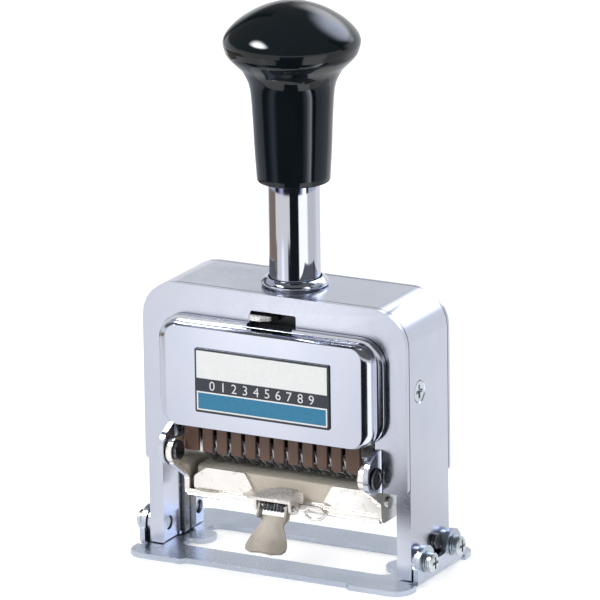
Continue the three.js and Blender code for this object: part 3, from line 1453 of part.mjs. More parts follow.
// Felt pad, rounded along its upper edges
const felt_front = case_in_front + case_sheet + felt_gap;
const felt_back = case_back - case_sheet - felt_gap;
const felt_low = case_low + case_sheet + felt_gap;
const felt_half_x = pad_case_half_x - felt_side_gap;
piece("ink_pad", prism("X", [
  [felt_front, felt_low, 0],
  [tray_flat_y - 2 * case_sheet, felt_low, 0],
  [felt_back, tray_back_z + pad_lip, 0],
  [felt_back, felt_top, felt_r],
  [felt_front, felt_top, felt_r],
], -felt_half_x, felt_half_x), felt);

// Pad clip: a domed roof with two ears that carry the pin, and a flap on the right
const roof_left_x = clip_x - clip_wing;
const roof_right_x = clip_x + clip_ear_x + clip_sheet;
function roofAt(u, v, drop = 0) {
  const bow = Math.sin(Math.PI * u * 0.6);
  const swell = Math.sin((Math.min(u / 0.45, 1) * Math.PI) / 2);
  const front_y = clip_back_y - between(clip_tip, clip_reach, swell);
  const back_z = pin_z + between(clip_tip_over, clip_crown_over, bow);
  const front_z = pin_z + between(clip_tip_over, clip_brow_over, swell);
  const x = between(roof_left_x, roof_right_x, u);
  const y = between(front_y, clip_back_y, v);
  return new THREE.Vector3(x, y, between(front_z, back_z, Math.sin((v * Math.PI) / 2)) - drop);
}
let clip = curvedSheet(8, 3, (u, v) => roofAt(u, v), (u, v) => roofAt(u, v, clip_sheet));
const clip_hole = circle(pin_y, pin_z, pin_r + pin_gap, small_steps);
const ear_low_z = pin_z - clip_ear_drop;
for (const side of [1, -1]) {
  const x0 = clip_x + side * clip_ear_x;
  const x1 = x0 + side * clip_sheet;
  const middle = ((x0 + x1) / 2 - roof_left_x) / (roof_right_x - roof_left_x);
  const brow = roofAt(middle, 0, clip_sheet / 2);
  const crown = roofAt(middle, 1, clip_sheet / 2);
  const ear = rounded([
    [clip_back_y, crown.z],
    [clip_back_y, ear_low_z, clip_ear_r / 2],
    [clip_back_y - clip_sheet, ear_low_z, seat_gap],
    [pin_y - clip_ear_r, pin_z - clip_ear_r * 1.3, clip_ear_r],
    [brow.y, brow.z, 0],
  ].reverse());
  clip = join(clip, prism("X", ear, Math.min(x0, x1), Math.max(x0, x1), [clip_hole]));
}
const clip_wall_y = clip_back_y - clip_sheet;
const flap_z = pin_z + clip_flap_low;
const wall = block(clip_x - clip_ear_x, clip_x + clip_ear_x, clip_wall_y, clip_back_y, ear_low_z, pin_z + clip_brow_over);
const flap = block(clip_x, clip_x + clip_flap_x, clip_wall_y, clip_back_y, flap_z, pin_z + clip_flap_high);
piece("pad_clip", join(clip, wall, flap), nickel);

const pin_half = clip_ear_x + clip_sheet + pin_proud;
piece("clip_pin", rod("X", pin_r, clip_x - pin_half, clip_x + pin_half, [0, pin_y, pin_z], small_steps), zinc);

// Torsion spring round the pin, with one straight leg on each side
const coil_points = [];
const coil_total = coil_curls * curl_steps;
coil_points.push(new THREE.Vector3(clip_x - coil_half - coil_end, pin_y + coil_r, pin_z + coil_leg));
for (let k = 0; k <= coil_total; k++) {
  const share = k / coil_total;
  const angle = share * coil_curls * 2 * Math.PI;
  const x = clip_x - coil_half + 2 * coil_half * share;
  coil_points.push(new THREE.Vector3(x, pin_y + coil_r * Math.cos(angle), pin_z - coil_r * Math.sin(angle)));
}
coil_points.push(new THREE.Vector3(clip_x + coil_half + coil_end, pin_y + coil_r, pin_z + coil_leg));
piece("clip_spring", wire(coil_points, coil_wire_r, coil_total + 4), black_steel);
leastGap("clip_spring", coil_points, coil_wire_r);

// Thumb lever: a flared, bowed tab that leans forward from two eyes on the pin
const lever_last = lever_width_shares.length - 1;
function leverAt(u, v, depth) {
  const a = (1 - v) * (1 - v);
  const b = 2 * v * (1 - v);
  const c = v * v;
  const y = -(a * lever_root_y + b * lever_bend_y + c * lever_tip_y);
  const z = -(a * lever_root_z + b * lever_bend_z + c * lever_tip_z);
  const along_y = between(lever_bend_y - lever_root_y, lever_tip_y - lever_bend_y, v);
  const along_z = between(lever_bend_z - lever_root_z, lever_tip_z - lever_bend_z, v);
  const long = Math.hypot(along_y, along_z);
  const x = (2 * u - 1) * lever_half * lever_width_shares[Math.round(v * lever_last)];
  const back = (x * x) / (2 * lever_bow_r) + depth;
  return new THREE.Vector3(clip_x + x, pin_y + y + (back * along_z) / long, pin_z + z - (back * along_y) / long);
}
const lever_front = (u, v) => leverAt(u, v, 0);
const lever_back = (u, v) => leverAt(u, v, lever_sheet);
let lever = curvedSheet(6, lever_last, lever_front, lever_back);
for (const side of [1, -1]) {
  const root = new THREE.Vector2(pin_y - lever_root_y, pin_z - lever_root_z);
  const eye = capsule(new THREE.Vector2(pin_y, pin_z), root, lever_eye_r);
  const inner = clip_x + side * lever_eye_x;
  const outer = inner + side * lever_eye;
  const hole = circle(pin_y, pin_z, pin_r + pin_gap, small_steps);
  lever = join(lever, prism("X", eye, Math.min(inner, outer), Math.max(inner, outer), [hole]));
}
piece("clip_lever", lever, nickel);

// Wire hook beside the clip
const hook_x = clip_x + clip_ear_x + clip_sheet + hook_offset;
const hook_y = tray_front_y - hook_gap - hook_wire_r;
const hook_points = [
  [0, -hook_kick, pin_gap],
  [0.27, -hook_kick * 0.4, hook_rise],
  [0.6, 0, hook_rise * 0.6],
  [0.9, 0, -pin_gap],
  [1, 0, -hook_drop * 0.47],
  [0.8, 0, -hook_drop * 0.88],
  [0.45, 0, -hook_drop],
  [0.18, 0, -hook_drop * 0.75],
  [0.15, 0, -hook_drop * 0.35],
].map(([share, y, z]) => new THREE.Vector3(hook_x + share * hook_long, hook_y + y, pin_z + z));
piece("clip_hook", wire(hook_points, hook_wire_r, 22), zinc);

export default root;
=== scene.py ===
import json
import math

import bmesh
import bpy
from mathutils import Matrix, Vector, noise


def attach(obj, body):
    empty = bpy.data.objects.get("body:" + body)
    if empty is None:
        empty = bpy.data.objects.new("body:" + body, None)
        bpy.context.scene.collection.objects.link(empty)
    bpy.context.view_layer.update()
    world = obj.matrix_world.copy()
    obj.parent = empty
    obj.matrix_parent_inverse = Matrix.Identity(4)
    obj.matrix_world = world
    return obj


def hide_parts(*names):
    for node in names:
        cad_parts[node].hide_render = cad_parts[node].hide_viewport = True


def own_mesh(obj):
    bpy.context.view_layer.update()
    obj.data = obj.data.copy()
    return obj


# Units
MM = 0.001

# Camera, solved from the photograph: viewing angles in degrees, distances in millimetres
VIEW_AZIMUTH = 28.05
VIEW_ELEVATION = 16.23
VIEW_ROLL = -0.82
VIEW_DISTANCE = 1885.5
VIEW_AIM = (1.37, -1.0, 72.6)
FOCAL_PIXELS = 7001.26
PICTURE_PIXELS = 600
SENSOR = 36.0
CAMERA_SEES_TO = 30

# Edge breaks on sheet, turned and small pieces
SHEET_BREAK = 0.22
SMALL_BREAK = 0.12

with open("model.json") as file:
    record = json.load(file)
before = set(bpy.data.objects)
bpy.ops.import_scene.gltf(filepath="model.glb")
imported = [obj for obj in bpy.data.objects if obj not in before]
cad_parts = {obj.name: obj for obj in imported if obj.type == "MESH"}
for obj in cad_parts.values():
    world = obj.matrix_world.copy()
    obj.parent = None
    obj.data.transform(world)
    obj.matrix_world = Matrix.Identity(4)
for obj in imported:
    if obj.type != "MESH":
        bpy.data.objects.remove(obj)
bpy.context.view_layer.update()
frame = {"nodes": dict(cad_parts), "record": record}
nodes = frame["nodes"]
scene = bpy.context.scene


# Node helpers
class Graph:
    """A material's node tree, with short calls for the nodes used here."""

    def __init__(self, name):
        self.material = bpy.data.materials.new(name)
        self.material.use_nodes = True
        self.tree = self.material.node_tree
        self.shader = self.tree.nodes["Principled BSDF"]
        self.output = self.tree.nodes["Material Output"]

    def add(self, kind, **values):
        node = self.tree.nodes.new(kind)
        for key, value in values.items():
            setattr(node, key, value)
        return node

    def link(self, source, target):
        self.tree.links.new(source, target)

    def set(self, **values):
        for key, value in values.items():
            self.shader.inputs[key.replace("_", " ")].default_value = value

    def place(self, scale=(1, 1, 1)):
        """Object coordinates in millimetres, stretched by scale."""
        coordinates = self.add("ShaderNodeTexCoord")
        mapping = self.add("ShaderNodeMapping")
        mapping.inputs["Scale"].default_value = [s / MM for s in scale]
        self.link(coordinates.outputs["Object"], mapping.inputs["Vector"])
        return mapping.outputs["Vector"]

    def noise(self, vector, scale, detail=3.0, roughness=0.5, distortion=0.0):
        node = self.add("ShaderNodeTexNoise")
        self.link(vector, node.inputs["Vector"])
        node.inputs["Scale"].default_value = scale
        node.inputs["Detail"].default_value = detail
        node.inputs["Roughness"].default_value = roughness
        node.inputs["Distortion"].default_value = distortion
        return node.outputs["Fac"]

    def ramp(self, value, stops, interpolation="LINEAR"):
        node = self.add("ShaderNodeValToRGB")
        self.link(value, node.inputs["Fac"])
        node.color_ramp.interpolation = interpolation
        elements = node.color_ramp.elements
        while len(elements) < len(stops):
            elements.new(0.5)
        for element, (place, colour) in zip(elements, stops):
            element.position = place
            element.color = (*colour, 1) if len(colour) == 3 else colour
        return node.outputs["Color"]

    def grey(self, value, low, high, start=0.0, end=1.0):
        """Maps value from start..end to low..high, as one number."""
        node = self.add("ShaderNodeMapRange")
        self.link(value, node.inputs["Value"])
        node.inputs["From Min"].default_value = start
        node.inputs["From Max"].default_value = end
        node.inputs["To Min"].default_value = low
        node.inputs["To Max"].default_value = high
        return node.outputs["Result"]

    def soft(self, value, start, end, low=0.0, high=1.0):
        """Maps value smoothly from start..end to low..high."""
        node = self.add("ShaderNodeMapRange", interpolation_type="SMOOTHSTEP")
        self.link(value, node.inputs["Value"])
        for key, number in (("From Min", start), ("From Max", end), ("To Min", low), ("To Max", high)):
            node.inputs[key].default_value = number
        return node.outputs["Result"]

    def mix(self, factor, first, second, blend="MIX"):
        node = self.add("ShaderNodeMix", data_type="RGBA", blend_type=blend)
        self.connect(factor, node.inputs["Factor"])
        self.connect(first, node.inputs["A"])
        self.connect(second, node.inputs["B"])
        return node.outputs["Result"]

    def connect(self, source, target):
        if hasattr(source, "is_linked"):
            self.link(source, target)
        elif isinstance(source, (int, float)):
            target.default_value = source
        else:
            target.default_value = (*source, 1)

    def math(self, operation, first, second=0.0):
        node = self.add("ShaderNodeMath", operation=operation)
        for socket, value in zip(node.inputs, (first, second)):
            if hasattr(value, "is_linked"):
                self.link(value, socket)
            else:
                socket.default_value = value
        return node.outputs["Value"]

    def bump(self, height, strength, distance, under=None):
        node = self.add("ShaderNodeBump")
        self.link(height, node.inputs["Height"])
        node.inputs["Strength"].default_value = strength
        node.inputs["Distance"].default_value = distance * MM
        if under is not None:
            self.link(under, node.inputs["Normal"])
        return node.outputs["Normal"]


def plated(name, colour, tint, dull, polish, wave=0.05, scratch=0.1, grain=(1, 1, 1), stain=None, metal=1.0):
    """Plated metal: waves in the plating, rubbing marks, dull patches, a tint that drifts, and stains."""
    g = Graph(name)
    g.set(Metallic=metal)
    place = g.place()
    patches = g.noise(place, 0.06, 4, 0.6)
    rub = g.noise(g.place(grain), 2.2, 5, 0.65)
    base = g.mix(g.grey(patches, 0, 1, 0.38, 0.66), colour, tint)
    edge = g.add("ShaderNodeNewGeometry").outputs["Pointiness"]
    worn = g.grey(edge, 0, 0.35, 0.53, 0.6)
    base = g.mix(worn, base, [min(1, c * WORN_BRIGHTER) for c in colour])
    if stain:
        spots = g.noise(place, 0.32, 5, 0.7, 0.6)
        base = g.mix(g.grey(spots, 0, 0.6, 0.56, 0.72), base, stain)
    g.link(base, g.shader.inputs["Base Color"])
    rubbed = g.grey(rub, polish, dull, 0.35, 0.75)
    clouded = g.grey(patches, 0, (dull - polish) * 0.6, 0.45, 0.7)
    g.link(g.math("ADD", rubbed, clouded), g.shader.inputs["Roughness"])
    waves = g.bump(g.noise(place, 0.045, 1, 0.4), wave, 1.0)
    marks = g.bump(rub, scratch, 0.01, waves)
    g.link(marks, g.shader.inputs["Normal"])
    return g.material


WORN_BRIGHTER = 1.18
CHROME, CHROME_COOL, CHROME_COLD = (0.57, 0.592, 0.665), (0.545, 0.57, 0.65), (0.545, 0.575, 0.66)
DRAWN, ROLLED, TURNED = (0.25, 3, 3), (0.3, 4, 4), (2, 2, 2)

chrome = plated("chrome_plate", CHROME, CHROME_COOL, 0.085, 0.03, scratch=0.04, grain=(1, 1, 5))
satin = plated("satin_chrome", CHROME, CHROME_COLD, 0.26, 0.16)
cover_chrome = plated("cover_chrome", CHROME, CHROME_COLD, 0.16, 0.11, wave=0.02, scratch=0.03)
base_satin = plated("satin_base", (0.50, 0.54, 0.62), (0.44, 0.49, 0.58), 0.36, 0.24, scratch=0.22)
stud_dark = plated("pivot_stud_plate", (0.20, 0.205, 0.22), (0.12, 0.12, 0.13), 0.24, 0.12, scratch=0.15)
steel = plated("bright_steel", (0.42, 0.43, 0.44), (0.33, 0.33, 0.33), 0.38, 0.2, 0.1, 0.3, ROLLED)
zinc = plated("zinc_screws", (0.62, 0.655, 0.69), (0.52, 0.585, 0.60), 0.36, 0.18, 0.1, 0.25, TURNED)
type_steel = plated("type_steel", (0.46, 0.465, 0.48), (0.22, 0.22, 0.23), 0.32, 0.16, 0.1, 0.3, (4, 1, 1))
nickel = plated(
    "nickel_plate", (0.93, 0.90, 0.855), (0.85, 0.81, 0.75), 0.26, 0.12, 0.16, 0.25, DRAWN,
    stain=(0.46, 0.37, 0.26), metal=0.9)
soft_nickel = plated(
    "soft_nickel", (0.84, 0.80, 0.75), (0.74, 0.69, 0.62), 0.34, 0.2, 0.16, 0.25, DRAWN,
    stain=(0.42, 0.34, 0.24), metal=0.6)
dull_nickel = plated(
    "dull_nickel", (0.40, 0.365, 0.315), (0.32, 0.285, 0.24), 0.66, 0.54, 0.10, 0.2, DRAWN,
    stain=(0.24, 0.195, 0.15), metal=0.3)


def black_oxide():
    """Blackened steel, clouded, with bare metal at its edges."""
    g = Graph("black_steel")
    place = g.place()
    cloud = g.noise(place, 0.35, 5, 0.6)
    g.set(Metallic=0.85)
    edge = g.add("ShaderNodeNewGeometry").outputs["Pointiness"]
    base = g.ramp(cloud, [(0.35, (0.012, 0.013, 0.015)), (0.7, (0.035, 0.036, 0.038))])
    base = g.mix(g.grey(edge, 0, 0.7, 0.52, 0.6), base, (0.28, 0.29, 0.3))
    g.link(base, g.shader.inputs["Base Color"])
    g.link(g.grey(cloud, 0.16, 0.34, 0.3, 0.7), g.shader.inputs["Roughness"])
    g.link(g.bump(g.noise(place, 3.0, 4), 0.2, 0.01), g.shader.inputs["Normal"])
    return g.material


TAB_Y, TAB_BLEND, TAB_RAGGED = -15.2, (-0.1, 0.3), 0.3


def worn_tab():
    """Blackened plate whose tab, in front of TAB_Y, is rubbed bright by the thumb."""
    g = Graph("selector_steel")
    place = g.place()
    split = g.add("ShaderNodeSeparateXYZ")
    g.link(place, split.inputs[0])
    rub = g.noise(place, 1.6, 5, 0.65)
    depth = g.math("ADD", split.outputs["Y"], g.math("MULTIPLY", rub, TAB_RAGGED))
    bright = g.grey(depth, 1.0, 0.0, TAB_Y + TAB_BLEND[0], TAB_Y + TAB_BLEND[1])
    worn = g.ramp(rub, [(0.3, (0.80, 0.78, 0.74)), (0.75, (0.90, 0.89, 0.87))])
    g.link(g.mix(bright, (0.014, 0.015, 0.017), worn), g.shader.inputs["Base Color"])
    g.set(Metallic=0.5)
    g.link(g.grey(rub, 0.2, 0.36, 0.3, 0.75), g.shader.inputs["Roughness"])
    g.link(g.bump(rub, 0.2, 0.02), g.shader.inputs["Normal"])
    return g.material


def laminate():
    """Brown laminated sheet for the digit guard, with fibres that run up the fingers."""
    g = Graph("brown_guard")
    fibre = g.noise(g.place((3.2, 3.2, 0.12)), 1.6, 6, 0.7)
    cloud = g.noise(g.place(), 0.22, 4)
    dark, middle, pale = (0.078, 0.040, 0.024), (0.125, 0.068, 0.045), (0.185, 0.108, 0.074)
    base = g.ramp(fibre, [(0.28, dark), (0.55, middle), (0.8, pale)])
    base = g.mix(g.grey(cloud, 0, 0.45, 0.4, 0.75), base, (0.15, 0.088, 0.060))
    g.link(base, g.shader.inputs["Base Color"])
    g.link(g.grey(fibre, 0.34, 0.55, 0.3, 0.7), g.shader.inputs["Roughness"])
    g.link(g.bump(fibre, 0.35, 0.02), g.shader.inputs["Normal"])
    return g.material


def moulding():
    """Polished black moulding: faint flow marks under a hard gloss with hairline rubbing."""
    g = Graph("black_knob")
    place = g.place()
    g.set(IOR=1.5, Specular_IOR_Level=0.4)
    flow = g.noise(place, 0.05, 3, 0.5, 1.0)
    hair = g.noise(g.place((1, 1, 6)), 2.8, 6, 0.75)
    base = g.ramp(flow, [(0.3, (0.0035, 0.0062, 0.0080)), (0.75, (0.006, 0.0098, 0.0125))])
    g.link(base, g.shader.inputs["Base Color"])
    g.link(g.grey(hair, 0.035, 0.11, 0.45, 0.8), g.shader.inputs["Roughness"])
    g.link(g.bump(g.noise(place, 0.08, 1), 0.03, 1.0), g.shader.inputs["Normal"])
    return g.material


def wool_felt():
    """Dense cream felt: matted fibres, painted darker where their bump sinks as shade, and soft patches of a
    deeper cream.
    """
    g = Graph("felt")
    place = g.place()
    g.set(Roughness=1.0, Sheen_Weight=0.35, Sheen_Roughness=0.5)
    fibre = g.noise(place, 3.5, 8, 0.8, 1.5)
    cloud = g.noise(place, 0.35, 4)
    # Painted shade: the fibre colour follows the bump, a deeper cream where it sinks and paler on its raised
    # tips.
    hollow_shade, middle, tip = (0.60, 0.53, 0.42), (0.80, 0.74, 0.63), (0.90, 0.86, 0.77)
    base = g.ramp(fibre, [(0.25, hollow_shade), (0.55, middle), (0.85, tip)])
    base = g.mix(g.grey(cloud, 0, 0.5, 0.45, 0.8), base, (0.66, 0.58, 0.45))
    g.link(base, g.shader.inputs["Base Color"])
    g.link(g.bump(fibre, 0.9, 0.12), g.shader.inputs["Normal"])
    return g.material


# The label's outline, its dark edge, its teal band's line, and the dark band's place
LABEL_HALF, LABEL_LOW, LABEL_HIGH = 20.4, 43.9, 61.9
LABEL_EDGE, LABEL_LINE = 0.6, 0.4
LABEL_DARK_LOW, LABEL_DARK_HIGH = 49.9, 53.6


def printed_plate():
    """The front label: a pale band, a dark band and a teal band inside a thin white line."""
    g = Graph("printed_plate")
    split = g.add("ShaderNodeSeparateXYZ")
    g.link(g.place(), split.inputs[0])
    across = g.math("ABSOLUTE", split.outputs["X"])
    height = split.outputs["Z"]

    def inside(half_width, low, high):
        wide = g.math("LESS_THAN", across, half_width)
        over = g.math("GREATER_THAN", height, low)
        under = g.math("LESS_THAN", height, high)
        return g.math("MULTIPLY", wide, g.math("MULTIPLY", over, under))

    half, foot = LABEL_HALF - LABEL_EDGE, LABEL_LOW + LABEL_EDGE * 1.2
    speck = g.noise(g.place(), 1.4, 6, 0.7)
    dark = g.ramp(speck, [(0.3, (0.018, 0.022, 0.032)), (0.75, (0.032, 0.037, 0.050))])
    pale = g.ramp(speck, [(0.3, (0.80, 0.81, 0.80)), (0.75, (0.88, 0.89, 0.88))])
    teal = g.ramp(speck, [(0.3, (0.016, 0.175, 0.315)), (0.75, (0.028, 0.215, 0.365))])
    teal_area = inside(half - LABEL_LINE, foot + LABEL_LINE, LABEL_DARK_LOW - LABEL_LINE)
    colour = g.mix(inside(half, LABEL_DARK_HIGH, LABEL_HIGH - LABEL_EDGE), dark, pale)
    colour = g.mix(inside(half, foot, LABEL_DARK_LOW), colour, pale)
    colour = g.mix(teal_area, colour, teal)
    g.link(colour, g.shader.inputs["Base Color"])
    g.link(g.grey(speck, 0.30, 0.42), g.shader.inputs["Roughness"])
    g.link(g.bump(speck, 0.12, 0.01), g.shader.inputs["Normal"])
    return g.material


def ink(name, thin, full, low, high):
    """Printing ink: one colour that varies with its thickness."""
    g = Graph(name)
    speck = g.noise(g.place(), 2.6, 5, 0.7)
    g.link(g.ramp(speck, [(0.3, thin), (0.75, full)]), g.shader.inputs["Base Color"])
    g.link(g.grey(speck, low, high), g.shader.inputs["Roughness"])
    g.link(g.bump(speck, 0.15, 0.01), g.shader.inputs["Normal"])
    return g.material


white_ink = ink("white_ink", (0.70, 0.71, 0.72), (0.84, 0.85, 0.86), 0.3, 0.42)
dark_ink = ink("dark_ink", (0.05, 0.052, 0.062), (0.010, 0.011, 0.016), 0.25, 0.45)
black_steel = black_oxide()
knob_black = moulding()
felt = wool_felt()

# Finishes by material slot, and by node where a piece has its own
SLOT_FINISHES = {
    "enamel": printed_plate(),
    "chrome_plate": chrome,
    "nickel_plate": nickel,
    "bright_steel": steel,
    "zinc_screws": zinc,
    "black_steel": black_steel,
    "type_steel": type_steel,
    "brown_guard": laminate(),
    "black_knob": knob_black,
    "felt": felt,
}
NODE_FINISHES = {
    "frame_casing": satin,
    "front_plate": satin,
    "rear_plate": satin,
    "base_plate": base_satin,
    "pivot_stud_left": stud_dark,
    "pivot_stud_right": stud_dark,
    "clip_lever": dull_nickel,
    "pad_clip": soft_nickel,
    "action_selector": worn_tab(),
    "selector_keeper": black_steel,
}
SMALL_WORDS = ("screw", "stud", "rivet", "clip", "hook", "wheel", "pawl", "comb")


# Carried-over solids: welded, with their sharp edges broken and their turned faces smooth
SMOOTH_BELOW = 38
BREAK_ABOVE = 40
FLAT_WITHIN = 0.6
WELD_WITHIN = 0.002


def sharp_by_angle():
    """A geometry tool that shades smooth and keeps edges over its angle sharp."""
    group = bpy.data.node_groups.new("smooth_by_angle", "GeometryNodeTree")
    group.interface.new_socket("Geometry", in_out="INPUT", socket_type="NodeSocketGeometry")
    group.interface.new_socket("Geometry", in_out="OUTPUT", socket_type="NodeSocketGeometry")
    start = group.nodes.new("NodeGroupInput")
    end = group.nodes.new("NodeGroupOutput")
    faces = group.nodes.new("GeometryNodeSetShadeSmooth")
    faces.domain = "FACE"
    edges = group.nodes.new("GeometryNodeSetShadeSmooth")
    edges.domain = "EDGE"
    angle = group.nodes.new("GeometryNodeInputMeshEdgeAngle")
    compare = group.nodes.new("FunctionNodeCompare")
    compare.data_type = "FLOAT"
    compare.operation = "LESS_THAN"
    compare.inputs["B"].default_value = math.radians(SMOOTH_BELOW)
    link = group.links.new
    link(start.outputs[0], faces.inputs["Geometry"])
    link(faces.outputs[0], edges.inputs["Geometry"])
    link(angle.outputs["Unsigned Angle"], compare.inputs["A"])
    link(compare.outputs["Result"], edges.inputs["Shade Smooth"])
    link(edges.outputs[0], end.inputs[0])
    return group


smooth_group = sharp_by_angle()


def shade_by_angle(obj):
    smooth = obj.modifiers.new("smooth", "NODES")
    smooth.node_group = smooth_group
    normals = obj.modifiers.new("normals", "WEIGHTED_NORMAL")
    normals.keep_sharp = True


def finish_solid(name, width, segments=2):
    """Breaks the sharp edges of a carried-over solid by width, in millimetres."""
    obj = nodes[name]
    if "custom_normal" in obj.data.attributes:
        obj.data.attributes.remove(obj.data.attributes["custom_normal"])
    weld = obj.modifiers.new("weld", "WELD")
    weld.merge_threshold = WELD_WITHIN * MM
    flat = obj.modifiers.new("flat", "DECIMATE")
    flat.decimate_type = "DISSOLVE"
    flat.angle_limit = math.radians(FLAT_WITHIN)
    bevel = obj.modifiers.new("edge_break", "BEVEL")
    bevel.width = width * MM
    bevel.segments = segments
    bevel.limit_method = "ANGLE"
    bevel.angle_limit = math.radians(BREAK_ABOVE)
    bevel.use_clamp_overlap = True
    bevel.harden_normals = False
    shade_by_angle(obj)


slots = {entry["node"]: entry["material_slot"] for entry in frame["record"]["subparts"]}
for name, obj in nodes.items():
    obj.data.materials.clear()
    obj.data.materials.append(NODE_FINISHES.get(name) or SLOT_FINISHES.get(slots.get(name), chrome))
    small = any(word in name for word in SMALL_WORDS)
    finish_solid(name, SMALL_BREAK if small else SHEET_BREAK)


# Finer pieces, from the same sizes in millimetres
def mesh_object(name, vertices, faces, material=None):
    mesh = bpy.data.meshes.new(name)
    mesh.from_pydata([tuple(v) for v in vertices], [], faces)
    mesh.update()
    obj = bpy.data.objects.new(name, mesh)
    scene.collection.objects.link(obj)
    if material:
        mesh.materials.append(material)
    return obj


def face_outward(obj):
    """Turns a new piece's faces outward."""
    mesh = bmesh.new()
    mesh.from_mesh(obj.data)
    bmesh.ops.recalc_face_normals(mesh, faces=mesh.faces)
    mesh.to_mesh(obj.data)
    mesh.free()


def smooth_all(obj):
    """Turns a new piece's faces outward and shades it smooth, with its sharper edges kept."""
    face_outward(obj)
    shade_by_angle(obj)
    return obj


def stand_for(obj, node, body):
    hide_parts(node)
    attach(obj, body)
    return obj


def strip_faces(first, second, count):
    """Four-sided faces between two closed rows of count vertices, from their first numbers."""
    faces = []
    for k in range(count):
        n = (k + 1) % count
        faces.append([first + k, first + n, second + n, second + k])
    return faces


def through(points, steps):
    """A smooth line through points."""
    points = [Vector(p) for p in points]
    last = len(points) - 1
    line = []
    for i in range(last):
        a, b, c, d = (points[max(0, min(last, i + k))] for k in (-1, 0, 1, 2))
        for j in range(steps):
            t = j / steps
            square = (2 * a - 5 * b + 4 * c - d) * t ** 2
            cube = (3 * b - a - 3 * c + d) * t ** 3
            line.append((2 * b + (c - a) * t + square + cube) / 2)
    return line + [points[-1]]


def lathe(name, profile, material, steps=96, closed=False):
    """Turns a profile of (radius, height) about the shaft's axis."""
    vertices, faces, rings = [], [], []
    for r, z in profile:
        if r < 1e-6:
            rings.append([len(vertices)])
            vertices.append(Vector((0, AXIS_Y, z)) * MM)
            continue
        rings.append(list(range(len(vertices), len(vertices) + steps)))
        for k in range(steps):
            turn = 2 * math.pi * k / steps
            vertices.append(Vector((r * math.cos(turn), AXIS_Y + r * math.sin(turn), z)) * MM)
    pairs = list(zip(rings, rings[1:])) + ([(rings[-1], rings[0])] if closed else [])
    for low, high in pairs:
        for k in range(steps):
            n = (k + 1) % steps
            face = [low[k % len(low)], low[n % len(low)], high[n % len(high)], high[k % len(high)]]
            faces.append(list(dict.fromkeys(face)))
    return smooth_all(mesh_object(name, vertices, faces, material))


def tube(name, points, radius, material, sides=12):
    """Round wire along points, closed at both ends."""
    points = [Vector(p) for p in points]
    count = len(points)
    ways = [(points[min(i + 1, count - 1)] - points[max(i - 1, 0)]).normalized() for i in range(count)]
    across = ways[0].orthogonal().normalized()
    vertices = []
    for point, way in zip(points, ways):
        across = (across - way * across.dot(way)).normalized()
        other = way.cross(across)
        for k in range(sides):
            turn = 2 * math.pi * k / sides
            vertices.append((point + (across * math.cos(turn) + other * math.sin(turn)) * radius) * MM)
    faces = [list(range(sides)), list(range((count - 1) * sides, count * sides))]
    for i in range(count - 1):
        faces += strip_faces(i * sides, (i + 1) * sides, sides)
    return smooth_all(mesh_object(name, vertices, faces, material))


# The shaft's axis and sizes that several pieces share
AXIS_Y = -1.0
SHAFT_R = 7.0
CLEAR = 0.3

# Knob: its bore, its foot's recess, and its body, flare and dome as shares of the sizes they follow
KNOB_WAIST, KNOB_R = 10.0, 18.5
KNOB_FOOT, KNOB_GRIP, KNOB_DOME = 106.0, 38.7, 10.6
SPIGOT_R, SHOULDER_Z, SPIGOT_TOP = 5.0, 112.0, 124.0
RECESS_R, RECESS_DEEP = 8.5, 1.2
KNOB_CURVE_STEPS = 6
FOOT_EDGE = ((0.7, 0), (0.3, 0.12), (0.07, 0.45))
BODY_SHARES = ((1.0, 0.05), (1.045, 0.24), (1.078, 0.44), (1.12, 0.61))
FLARE_SHARES = ((0.2, 0.69), (0.305, 0.747), (0.46, 0.803), (0.73, 0.862), (0.894, 0.905), (0.965, 0.946))
DOME_SHARES = ((1.0, 0), (0.932, 0.235), (0.76, 0.52), (0.5, 0.79), (0.23, 0.955), (0, 1))


def knob_moulding():
    widest_z = KNOB_FOOT + KNOB_GRIP
    bore, spigot_bore = SHAFT_R + CLEAR, SPIGOT_R + CLEAR
    inside = [
        (0, SPIGOT_TOP + CLEAR), (spigot_bore, SPIGOT_TOP + CLEAR), (spigot_bore, SHOULDER_Z + CLEAR),
        (bore, SHOULDER_Z + CLEAR), (bore, KNOB_FOOT + RECESS_DEEP), (RECESS_R, KNOB_FOOT + RECESS_DEEP),
        (RECESS_R, KNOB_FOOT),
    ]
    foot = [(KNOB_WAIST - inset, KNOB_FOOT + up) for inset, up in FOOT_EDGE]
    flank = [(KNOB_WAIST * across, KNOB_FOOT + KNOB_GRIP * up) for across, up in BODY_SHARES]
    for across, up in FLARE_SHARES:
        flank.append((KNOB_WAIST + (KNOB_R - KNOB_WAIST) * across, KNOB_FOOT + KNOB_GRIP * up))
    flank += [(KNOB_R * across, widest_z + KNOB_DOME * up) for across, up in DOME_SHARES]
    outside = [(max(0, min(r, KNOB_R)), z) for r, z in through(flank, KNOB_CURVE_STEPS)]
    stand_for(lathe("knob_moulding", inside + foot + outside, knob_black), "knob", "plunger")


knob_moulding()

# Collar: a sleeve through the casing's roof with a rolled rim over it
COLLAR_BORE, COLLAR_SLEEVE = 7.35, 7.9
COLLAR_FOOT, COLLAR_SEAT, COLLAR_TOP = 74.0, 77.3, 79.4
COLLAR_CURVE_STEPS = 4
COLLAR_ROLL = ((8.9, COLLAR_SEAT), (9.12, 77.5), (9.15, 77.9), (8.8, 78.5), (8.1, 79.15), (7.65, COLLAR_TOP))

collar_line = [(COLLAR_BORE, COLLAR_FOOT), (COLLAR_SLEEVE, COLLAR_FOOT), (COLLAR_SLEEVE, COLLAR_SEAT)]
collar_line += [tuple(point) for point in through(COLLAR_ROLL, COLLAR_CURVE_STEPS)]
collar_line.append((COLLAR_BORE, COLLAR_TOP))
collar = lathe("collar_turned", collar_line, chrome, closed=True)
stand_for(collar, "shaft_collar", "frame")

